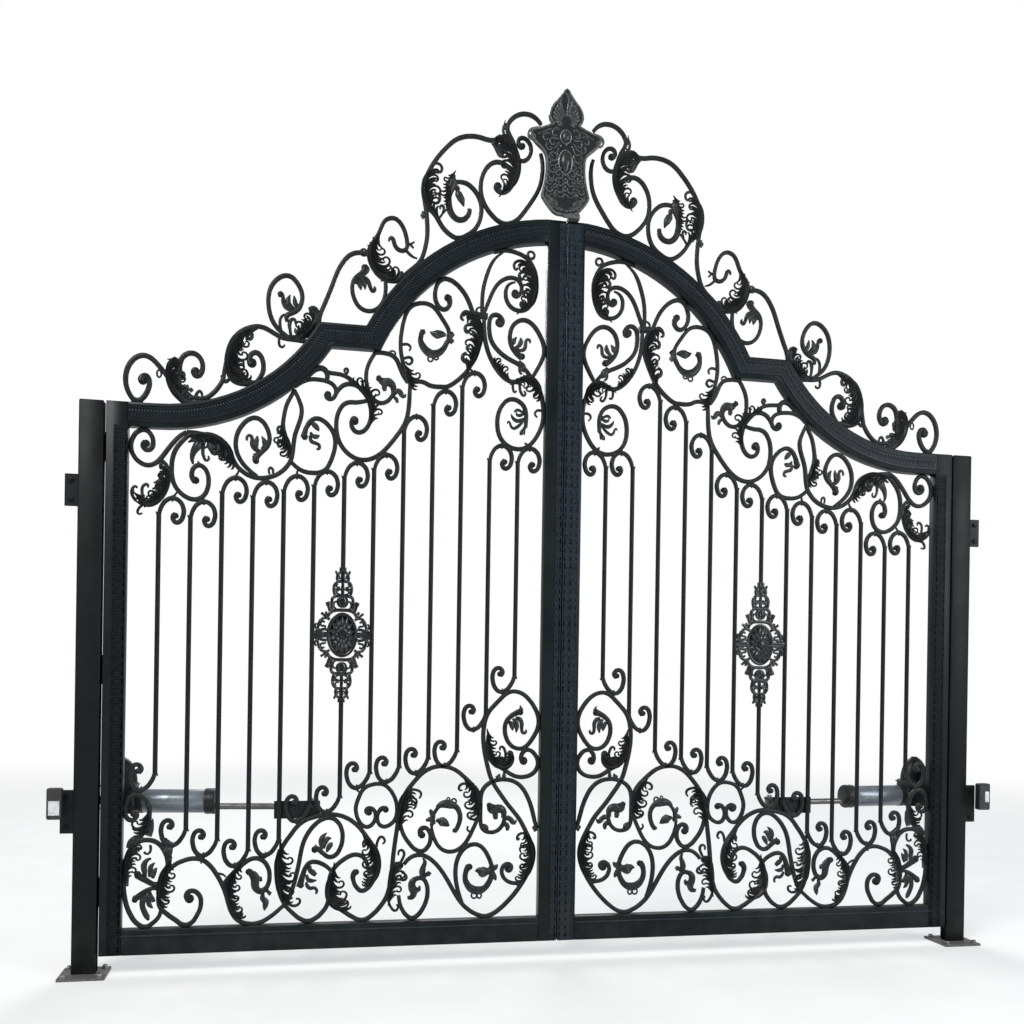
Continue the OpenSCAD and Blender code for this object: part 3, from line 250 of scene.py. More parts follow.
def rod(start, end, radius, vertices=32, chamfer=0.0):
    """A round bar between two points, in millimetres, with chamfered ends."""
    let_go()
    start, end = Vector(start) * MM, Vector(end) * MM
    way = end - start
    bpy.ops.mesh.primitive_cylinder_add(vertices=vertices, radius=radius * MM, depth=way.length,
                                        end_fill_type="NGON")
    piece = bpy.context.object
    if chamfer:
        edit(piece)
        choose(piece, is_end)
        bpy.ops.mesh.bevel(offset=chamfer * MM, segments=2, affect="EDGES")
        let_go()
    piece.rotation_mode = "QUATERNION"
    piece.rotation_quaternion = way.to_track_quat("Z", "Y")
    piece.location = (start + end) / 2
    apply_place(piece)
    piece.rotation_mode = "XYZ"
    return piece


def bore(piece, start, end, radius):
    """Drills a round hole through a piece along the line between two points."""
    drill = rod(start, end, radius)
    add_modifier(piece, "BOOLEAN", operation="DIFFERENCE", solver="EXACT", object=drill)
    discard(drill)
    return piece


def bolt(place, way, radius, head, washer):
    """A hexagon bolt head on its washer, standing off place along way, in millimetres."""
    place, way = Vector(place), Vector(way)
    disc = rod(place - way, place + way * 2, washer, 24, 0.6)
    nut = rod(place + way * 2, place + way * (2 + head), radius, 6, 0.8)
    recess(nut, facing(way), 0.0015, way * 0.0008)
    return join("bolt", [disc, nut])


def bar_section(name, points):
    """A bar's cross section as a closed curve: across the bar, and towards the street."""
    let_go()
    bpy.ops.mesh.primitive_circle_add(vertices=len(points), radius=0.01)
    section = bpy.context.object
    section.name = name
    for corner, (x, y) in zip(section.data.vertices, points):
        corner.co = (x * MM, y * MM, 0)
    bpy.ops.object.convert(target="CURVE")
    section.hide_render = True
    return section


def bend(name, runs, section, base=12.0, steps=3, depth=MIDDLE, straight=False, ring=False):
    """Bends bars along given points. Each run is a list of (u, z, width).

    base is the width that the section is drawn for, and depth is where the bars lie."""
    let_go()
    bpy.ops.curve.primitive_bezier_curve_add(location=(0, 0, 0))
    bent = bpy.context.object
    bent.name = name
    shape = bent.data
    shape.splines.clear()
    shape.dimensions = "2D"
    shape.fill_mode = "NONE"
    shape.resolution_u = steps
    shape.bevel_mode = "OBJECT"
    shape.bevel_object = section
    shape.use_fill_caps = True
    for run in runs:
        spline = shape.splines.new("BEZIER")
        spline.use_cyclic_u = ring
        spline.resolution_u = 1 if straight else steps
        spline.bezier_points.add(len(run) - 1)
        for knot, (u, z, width) in zip(spline.bezier_points, run):
            knot.co = (u * MM, z * MM, 0)
            knot.handle_left_type = knot.handle_right_type = "VECTOR" if straight else "AUTO"
            knot.radius = width / base
    pick(bent)
    bpy.ops.object.convert(target="MESH")
    bent = bpy.context.object
    bent.rotation_euler = (math.radians(90), 0, 0)
    bent.location = (0, depth * MM, 0)
    apply_place(bent)
    return bent


def in_plane(u, z, size=1.0, angle=0.0, depth=0.0):
    """Carries something drawn round the origin to (u, z) on the leaf, turned by angle."""
    return (Matrix.Translation((u * MM, depth * MM, z * MM)) @ Matrix.Rotation(-angle, 4, "Y")
            @ Matrix.Diagonal((size, 1, size, 1)))


def points_of(row, size=2):
    """The numbers of a row as points of so many numbers each."""
    return [row[i:i + size] for i in range(0, len(row), size)]


def oval(u, z, wide, tall, thick, count):
    """A ring of points round (u, z) as (u, z, width), from its top."""
    return [(u + wide * math.sin(math.tau * i / count), z + tall * math.cos(math.tau * i / count),
             thick) for i in range(count)]


def smooth_line(points, count=4):
    """The points with count - 1 more between each two, on one smooth line."""
    line = []
    last = len(points) - 1
    for i in range(last):
        a, b, c, d = (Vector(points[min(max(k, 0), last)]) for k in (i - 1, i, i + 1, i + 2))
        for j in range(count):
            t = j / count
            line.append(0.5 * (2 * b + (c - a) * t + (2 * a - 5 * b + 4 * c - d) * t * t
                               + (3 * b - a - 3 * c + d) * t * t * t))
    line.append(Vector(points[-1]))
    return line


def fair(points, passes=2):
    """Takes the unevenness of given points out of a line, without shrinking it."""
    line = [Vector(p) for p in points]
    for _ in range(passes):
        for share in (0.45, -0.47):
            mean = [(a + c) / 2 - b for a, b, c in zip(line, line[1:], line[2:])]
            line = [line[0]] + [b + share * m for b, m in zip(line[1:], mean)] + [line[-1]]
    return [(p.x, p.y) for p in line]


def walk(line, pitch, start):
    """Places every pitch millimetres along a line.

    Each is (point, start and end of the line's part there, share of the way)."""
    total = sum((b - a).length for a, b in zip(line, line[1:]))
    found, walked, target = [], 0.0, start
    for a, b in zip(line, line[1:]):
        length = (b - a).length
        while length and walked + length >= target:
            found.append((a.lerp(b, (target - walked) / length), a, b, target / total))
            target += pitch
        walked += length
    return found


# ---------------------------------------------------------------- finishes
def group(name, inputs, outputs):
    """An empty shader node group with named inputs, as (name, value), and outputs."""
    made = bpy.data.node_groups.new(name, "ShaderNodeTree")
    for label, value in inputs:
        socket = made.interface.new_socket(label, in_out="INPUT", socket_type="NodeSocketFloat")
        socket.default_value = value
    for label in outputs:
        made.interface.new_socket(label, in_out="OUTPUT", socket_type="NodeSocketFloat")
    return made, made.nodes.new("NodeGroupInput"), made.nodes.new("NodeGroupOutput")


def node(tree, kind, **settings):
    """A shader node. A setting called _2 is the value of its input 2."""
    made = tree.nodes.new("ShaderNode" + kind)
    for key, value in settings.items():
        if key.startswith("_"):
            made.inputs[int(key[1:])].default_value = value
        else:
            setattr(made, key, value)
    return made


def link(tree, *pairs):
    for start, end in pairs:
        tree.links.new(start, end)


def ramp(tree, value, low, high, out_low=0.0, out_high=1.0):
    """The value taken smoothly from one range to another."""
    made = node(tree, "MapRange", interpolation_type="SMOOTHSTEP")
    for key, number in (("From Min", low), ("From Max", high), ("To Min", out_low),
                        ("To Max", out_high)):
        made.inputs[key].default_value = number
    link(tree, (value, made.inputs["Value"]))
    return made.outputs["Result"]


def math_node(tree, operation, a, b=None):
    made = node(tree, "Math", operation=operation)
    for socket, value in zip(made.inputs, (a, b)):
        if value is None:
            continue
        if isinstance(value, (int, float)):
            socket.default_value = value
        else:
            link(tree, (value, socket))
    return made.outputs[0]


def forged_group():
    """Hammer marks and scale of worked iron: a height, and a tone that varies over it."""
    tree, given, result = group("forged skin", [("Hammer Scale", 60.0), ("Grain Scale", 500.0),
                                                ("Hammer Depth", 0.6)], ["Height", "Tone"])
    place = node(tree, "TexCoord").outputs["Object"]
    marks = node(tree, "TexVoronoi", feature="SMOOTH_F1")
    grain = node(tree, "TexNoise", _3=4.0, _4=0.6)
    broad = node(tree, "TexNoise", _2=3.2, _3=5.0, _4=0.62)
    link(tree, (place, marks.inputs["Vector"]), (place, grain.inputs["Vector"]),
         (place, broad.inputs["Vector"]), (given.outputs["Hammer Scale"], marks.inputs["Scale"]),
         (given.outputs["Grain Scale"], grain.inputs["Scale"]))
    dents = ramp(tree, marks.outputs["Distance"], 0.0, 0.75)
    dents = math_node(tree, "MULTIPLY", dents, given.outputs["Hammer Depth"])
    fine = math_node(tree, "MULTIPLY", grain.outputs["Fac"], 0.35)
    link(tree, (math_node(tree, "ADD", dents, fine), result.inputs["Height"]))
    tone = math_node(tree, "MULTIPLY", broad.outputs["Fac"], 0.75)
    tone = math_node(tree, "ADD", tone, math_node(tree, "MULTIPLY", grain.outputs["Fac"], 0.25))
    link(tree, (ramp(tree, tone, 0.34, 0.66), result.inputs["Tone"]))
    return tree


def weather_group():
    """Where dust lies, on faces that look up and low down, and where specks of rust show."""
    tree, given, result = group("weather", [("Ledge Dust", 0.5), ("Splash Height", 0.35)],
                                ["Dust", "Rust"])
    coordinates = node(tree, "TexCoord")
    place = coordinates.outputs["Object"]
    patches = node(tree, "TexNoise", _2=14.0, _3=6.0, _4=0.65)
    specks = node(tree, "TexNoise", _2=120.0, _3=4.0, _4=0.7)
    link(tree, (place, patches.inputs["Vector"]), (place, specks.inputs["Vector"]))
    split = node(tree, "SeparateXYZ")
    link(tree, (place, split.inputs[0]))
    normal = node(tree, "SeparateXYZ")
    link(tree, (node(tree, "NewGeometry").outputs["Normal"], normal.inputs[0]))
    ledge = math_node(tree, "MULTIPLY", ramp(tree, normal.outputs["Z"], 0.35, 0.95),
                      given.outputs["Ledge Dust"])
    height = math_node(tree, "DIVIDE", split.outputs["Z"], given.outputs["Splash Height"])
    splash = ramp(tree, height, 0.0, 1.0, 0.16, 0.0)
    soil = math_node(tree, "MAXIMUM", ledge, splash)
    soil = math_node(tree, "MULTIPLY", soil, ramp(tree, patches.outputs["Fac"], 0.35, 0.7))
    link(tree, (soil, result.inputs["Dust"]))
    rust = math_node(tree, "MULTIPLY", ramp(tree, specks.outputs["Fac"], 0.62, 0.74),
                     ramp(tree, patches.outputs["Fac"], 0.5, 0.72))
    low = ramp(tree, height, 0.0, 1.6, 1.0, 0.25)
    link(tree, (math_node(tree, "MULTIPLY", rust, low), result.inputs["Rust"]))
    return tree


def worn_and_highlight_group():
    """Crests of the relief, broken by noise: worn paint, and painted highlight on the castings."""
    tree, given, result = group("worn and highlighted crests", [("Low", 0.51), ("High", 0.58)], ["Mask"])
    place = node(tree, "TexCoord").outputs["Object"]
    broken = node(tree, "TexNoise", _2=85.0, _3=4.0, _4=0.6)
    link(tree, (place, broken.inputs["Vector"]))
    sharp = node(tree, "MapRange", interpolation_type="SMOOTHSTEP")
    link(tree, (node(tree, "NewGeometry").outputs["Pointiness"], sharp.inputs["Value"]),
         (given.outputs["Low"], sharp.inputs["From Min"]),
         (given.outputs["High"], sharp.inputs["From Max"]))
    mask = math_node(tree, "MULTIPLY", sharp.outputs["Result"],
                     ramp(tree, broken.outputs["Fac"], 0.3, 0.6, 0.35, 1.0))
    link(tree, (mask, result.inputs["Mask"]))
    return tree


FORGED, WEATHER, WORN_AND_HIGHLIGHT = forged_group(), weather_group(), worn_and_highlight_group()
DUST, RUST = (0.075, 0.072, 0.062), (0.06, 0.022, 0.009)


def blend_colour(tree, factor, first, second):
    mix = node(tree, "Mix", data_type="RGBA")
    for value, number in ((factor, 0), (first, 6), (second, 7)):
        socket = mix.inputs[number]
        if isinstance(value, (int, float)):
            socket.default_value = value
        elif isinstance(value, tuple):
            socket.default_value = (*value, 1)
        else:
            link(tree, (value, socket))
    return mix.outputs[2]


def painted_iron(name, dark, light, worn_and_highlight_tone, rough=(0.32, 0.5), hammer=60.0, depth=0.6, bump=0.25,
                 reach=0.0012, specular=0.5, metallic=0.0, worn_and_highlight_range=(0.51, 0.58), ledge=0.5,
                 coat=0.0):
    """Painted or bare iron: two tones of its colour, lighter crests, dust, rust specks and bump.

    The lighter crests are worn paint, and on the cast leaves, rosette and finial a painted
    highlight. rough is a range of roughness and the crest mask has a range of its own, hammer is
    the scale of the marks, depth and bump their strength, reach their height, and ledge the dust
    on top."""
    made = bpy.data.materials.new(name)
    made.use_nodes = True
    tree = made.node_tree
    shader = tree.nodes["Principled BSDF"]
    shader.inputs["Specular IOR Level"].default_value = specular
    shader.inputs["Metallic"].default_value = metallic
    shader.inputs["Coat Weight"].default_value = coat
    shader.inputs["Coat Roughness"].default_value = 0.25
    skin = node(tree, "Group", node_tree=FORGED)
    skin.inputs["Hammer Scale"].default_value = hammer
    skin.inputs["Hammer Depth"].default_value = depth
    weather = node(tree, "Group", node_tree=WEATHER)
    weather.inputs["Ledge Dust"].default_value = ledge
    worn_and_highlight_mask = node(tree, "Group", node_tree=WORN_AND_HIGHLIGHT)
    worn_and_highlight_mask.inputs["Low"].default_value, worn_and_highlight_mask.inputs["High"].default_value = worn_and_highlight_range
    colour = blend_colour(tree, skin.outputs["Tone"], dark, light)
    # Crests take the lighter tone: worn paint, and on the castings a painted highlight.
    colour = blend_colour(tree, worn_and_highlight_mask.outputs["Mask"], colour, worn_and_highlight_tone)
    colour = blend_colour(tree, weather.outputs["Dust"], colour, DUST)
    colour = blend_colour(tree, weather.outputs["Rust"], colour, RUST)
    link(tree, (colour, shader.inputs["Base Color"]))
    roughness = ramp(tree, skin.outputs["Tone"], 0.0, 1.0, *rough)
    roughness = math_node(tree, "ADD", roughness,
                          math_node(tree, "MULTIPLY", weather.outputs["Dust"], 0.35))
    link(tree, (roughness, shader.inputs["Roughness"]))
    raised = node(tree, "Bump")
    raised.inputs["Strength"].default_value = bump
    raised.inputs["Distance"].default_value = reach
    link(tree, (skin.outputs["Height"], raised.inputs["Height"]),
         (raised.outputs["Normal"], shader.inputs["Normal"]))
    return made


wrought_black = painted_iron("wrought black", (0.0024, 0.0029, 0.0029), (0.0058, 0.0070, 0.0068),
                             (0.022, 0.026, 0.025), rough=(0.30, 0.46), specular=0.13)
bar_black = painted_iron("round bar black", (0.0022, 0.0027, 0.0029), (0.0050, 0.0060, 0.0064),
                         (0.012, 0.014, 0.014), rough=(0.30, 0.42), hammer=40.0, depth=0.2,
                         bump=0.12, specular=0.13)
# Its light crest tone is a painted highlight on the ridges of the leaves and sprigs.
cast_black = painted_iron("cast leaf black", (0.0022, 0.0028, 0.0028), (0.0060, 0.0075, 0.0073),
                          (0.062, 0.072, 0.070), rough=(0.26, 0.42), hammer=150.0, depth=0.3,
                          worn_and_highlight_range=(0.53, 0.61), specular=0.22)
# Its light crest tone is a painted highlight on the carved curls of the shield.
finial_black = painted_iron("carved shield black", (0.0020, 0.0026, 0.0026),
                            (0.0055, 0.0066, 0.0066), (0.105, 0.115, 0.112), rough=(0.16, 0.28),
                            hammer=110.0, depth=0.8, bump=0.3, reach=0.003,
                            worn_and_highlight_range=(0.508, 0.562), specular=0.55)
boss_black = painted_iron("smooth boss black", (0.0060, 0.0070, 0.0074), (0.010, 0.012, 0.0125),
                          (0.05, 0.055, 0.055), rough=(0.34, 0.42), hammer=30.0, depth=0.1,
                          bump=0.05, specular=0.5)
# Its light crest tone is a painted highlight on the rosette's stems and beads.
rosette_black = painted_iron("cast rosette black", (0.0022, 0.0028, 0.0028),
                             (0.0060, 0.0075, 0.0073), (0.044, 0.050, 0.049), rough=(0.15, 0.27),
                             hammer=150.0, depth=0.3, worn_and_highlight_range=(0.548, 0.62), specular=0.45)
frame_slate = painted_iron("frame slate black", (0.0030, 0.0050, 0.0058), (0.0062, 0.0098, 0.0114),
                           (0.012, 0.017, 0.019), rough=(0.30, 0.44), hammer=18.0, depth=0.08,
                           bump=0.08, specular=0.15, worn_and_highlight_range=(0.56, 0.66))
pressed_slate = painted_iron("pressed band slate", (0.0026, 0.0042, 0.0050),
                             (0.0058, 0.0090, 0.0106), (0.019, 0.029, 0.039), rough=(0.28, 0.42),
                             hammer=120.0, depth=0.2, worn_and_highlight_range=(0.53, 0.60), specular=0.18)
shaded_slate = painted_iron("shaded band slate", (0.0022, 0.0032, 0.0036),
                            (0.0044, 0.0062, 0.0070), (0.013, 0.018, 0.021), rough=(0.40, 0.54),
                            hammer=120.0, depth=0.2, worn_and_highlight_range=(0.55, 0.64), specular=0.07)
post_black = painted_iron("post black", (0.0030, 0.0040, 0.0043), (0.0060, 0.0078, 0.0083),
                          (0.012, 0.014, 0.014), rough=(0.36, 0.52), hammer=18.0, depth=0.12,
                          bump=0.10, specular=0.14, worn_and_highlight_range=(0.56, 0.66))
plate_steel = painted_iron("plate steel", (0.020, 0.021, 0.021), (0.048, 0.049, 0.047),
                           (0.12, 0.12, 0.115), rough=(0.42, 0.62), hammer=70.0, depth=0.3,
                           specular=0.35, worn_and_highlight_range=(0.53, 0.62))
bolt_zinc = painted_iron("bolt zinc", (0.16, 0.16, 0.155), (0.28, 0.28, 0.27), (0.4, 0.4, 0.39),
                         rough=(0.32, 0.46), hammer=200.0, metallic=0.9, depth=0.3)
case_black = painted_iron("operator case black", (0.004, 0.0046, 0.0048), (0.008, 0.0092, 0.0095),
                          (0.03, 0.03, 0.032), rough=(0.34, 0.46), hammer=400.0, depth=0.2,
                          bump=0.1, ledge=0.2, specular=0.3)
tube_steel = painted_iron("operator tube steel", (0.17, 0.20, 0.23), (0.26, 0.30, 0.33),
                          (0.40, 0.44, 0.47), rough=(0.24, 0.36), hammer=30.0, depth=0.1,
                          bump=0.05, metallic=0.45, specular=0.4, worn_and_highlight_range=(0.55, 0.65))
rod_steel = painted_iron("ground rod steel", (0.12, 0.118, 0.112), (0.20, 0.196, 0.185),
                         (0.30, 0.30, 0.29), rough=(0.20, 0.32), hammer=40.0, depth=0.05,
                         bump=0.04, metallic=0.5, worn_and_highlight_range=(0.56, 0.66))
# Near-black painted shade for side faces that look into the narrow gaps of the frame.
gap_shade_black = painted_iron("painted shade in the gaps", (0.0012, 0.0013, 0.0013),
                           (0.0022, 0.0024, 0.0024), (0.004, 0.004, 0.004), rough=(0.85, 0.95),
                           hammer=300.0, bump=0.05, specular=0.02, ledge=0.1)
sensor_black = painted_iron("sensor black", (0.006, 0.006, 0.007), (0.010, 0.010, 0.011),
                            (0.03, 0.03, 0.03), rough=(0.36, 0.5), hammer=300.0, bump=0.08,
                            specular=0.35)
sensor_lens = painted_iron("sensor lens", (0.26, 0.28, 0.28), (0.34, 0.36, 0.36),
                           (0.6, 0.6, 0.6), rough=(0.08, 0.16), hammer=100.0, bump=0.03,
                           coat=0.6)


# ---------------------------------------------------------------- camera, light and floor
# The camera as fitted to the photograph: its place, its turn in degrees, lens and shift.
CAMERA_PLACE, CAMERA_TURN = (0.7688, -4.2944, 1.1522), (89.9226, -0.8827, -11.6256)
LENS, SENSOR, SHIFT = 37.2656, 36, 0.166
# Lamps: (name, place, point aimed at, size, watts, tint).
LAMPS = [("key lamp", (-3.4, -6.2, 7.8), (1.9, 0, 1.6), 3.4, 720, (1.0, 0.99, 0.96)),
         ("fill lamp", (7.0, -5.0, 3.5), (1.9, 0, 1.4), 3.6, 260, (0.93, 0.97, 1.0)),
         ("rim lamp", (2.2, 5.5, 5.5), (1.9, 0, 1.8), 3.0, 260, (1.0, 1.0, 1.0))]
FLOOR_RADIUS, FLOOR_THICK = 26, 0.05
# The floor turns white between these distances from the gate's middle.
FADE_FROM, FADE_TO = 2.5, 12.0


def set_camera():
    """The camera at the photograph's angle."""
    let_go()
    bpy.ops.object.camera_add(location=CAMERA_PLACE,
                              rotation=[math.radians(a) for a in CAMERA_TURN])
    camera = bpy.context.object
    camera.data.lens = LENS
    camera.data.sensor_width = SENSOR
    camera.data.shift_y = SHIFT
    bpy.context.scene.camera = camera


def set_floor():
    """An open pale ground that fades to white."""
    bpy.ops.mesh.primitive_circle_add(vertices=96, radius=FLOOR_RADIUS, fill_type="NGON",
                                      location=(GATE.x, 0, 0))
    floor = bpy.context.object
    floor.name = "floor"
    edit(floor)
    bpy.ops.mesh.select_all(action="SELECT")
    bpy.ops.mesh.extrude_region_move(TRANSFORM_OT_translate={"value": (0, 0, -FLOOR_THICK)})
    bpy.ops.mesh.select_all(action="SELECT")
    bpy.ops.mesh.normals_make_consistent(inside=False)
    let_go()
    apply_place(floor)
    pale = bpy.data.materials.new("pale ground")
    pale.use_nodes = True
    tree = pale.node_tree
    shader = tree.nodes["Principled BSDF"]
    shader.inputs["Roughness"].default_value = 0.9
    shader.inputs["Specular IOR Level"].default_value = 0.2
    mottle = node(tree, "TexNoise", _2=2.5, _3=6.0)
    place = node(tree, "TexCoord").outputs["Object"]
    link(tree, (place, mottle.inputs["Vector"]))
    tone = blend_colour(tree, ramp(tree, mottle.outputs["Fac"], 0.3, 0.7), (0.80, 0.80, 0.79),
                        (0.84, 0.84, 0.83))
    link(tree, (tone, shader.inputs["Base Color"]))
    away = node(tree, "VectorMath", operation="DISTANCE")
    away.inputs[1].default_value = (GATE.x, 0, 0)
    link(tree, (place, away.inputs[0]))
    white = node(tree, "Emission")
    white.inputs["Strength"].default_value = 1.0
    seen = node(tree, "LightPath")
    mirrored_share = math_node(tree, "MULTIPLY", seen.outputs["Is Glossy Ray"], 0.35)
    shown = math_node(tree, "MAXIMUM", seen.outputs["Is Camera Ray"],
                      math_node(tree, "MAXIMUM", mirrored_share,
                                seen.outputs["Is Transmission Ray"]))
    far = ramp(tree, away.outputs["Value"], FADE_FROM, FADE_TO, 0.35, 1.0)
    fade = math_node(tree, "MULTIPLY", far, shown)
    mix = node(tree, "MixShader")
    link(tree, (fade, mix.inputs[0]), (shader.outputs[0], mix.inputs[1]),
         (white.outputs[0], mix.inputs[2]),
         (mix.outputs[0], tree.nodes["Material Output"].inputs["Surface"]))
    paint(floor, pale)


def set_sky():
    """A soft sky that lights the gate and shows as plain white."""
    world = bpy.data.worlds.new("soft sky")
    bpy.context.scene.world = world
    world.use_nodes = True
    tree = world.node_tree
    sky = tree.nodes["Background"]
    sky.inputs["Color"].default_value = (0.90, 0.95, 1.0, 1)
    sky.inputs["Strength"].default_value = 0.48
    back = node(tree, "Background")
    back.inputs["Color"].default_value = (1, 1, 1, 1)
    back.inputs["Strength"].default_value = 1.0
    seen = node(tree, "LightPath")
    shown = math_node(tree, "MAXIMUM", seen.outputs["Is Camera Ray"],
                      seen.outputs["Is Transmission Ray"])
    mix = node(tree, "MixShader")
    link(tree, (shown, mix.inputs[0]), (sky.outputs[0], mix.inputs[1]),
         (back.outputs[0], mix.inputs[2]),
         (mix.outputs[0], tree.nodes["World Output"].inputs["Surface"]))


def set_lamps():
    """Three soft area lamps."""
    for name, place, aim, size, watts, tint in LAMPS:
        bpy.ops.object.light_add(type="AREA", location=place)
        lamp = bpy.context.object
        lamp.name = name
        lamp.data.size = size
        lamp.data.energy = watts
        lamp.data.color = tint
        lamp.rotation_euler = (Vector(aim) - Vector(place)).to_track_quat("-Z", "Y").to_euler()


set_camera()
set_floor()
set_sky()
set_lamps()
bpy.context.scene.view_settings.view_transform = "Standard"
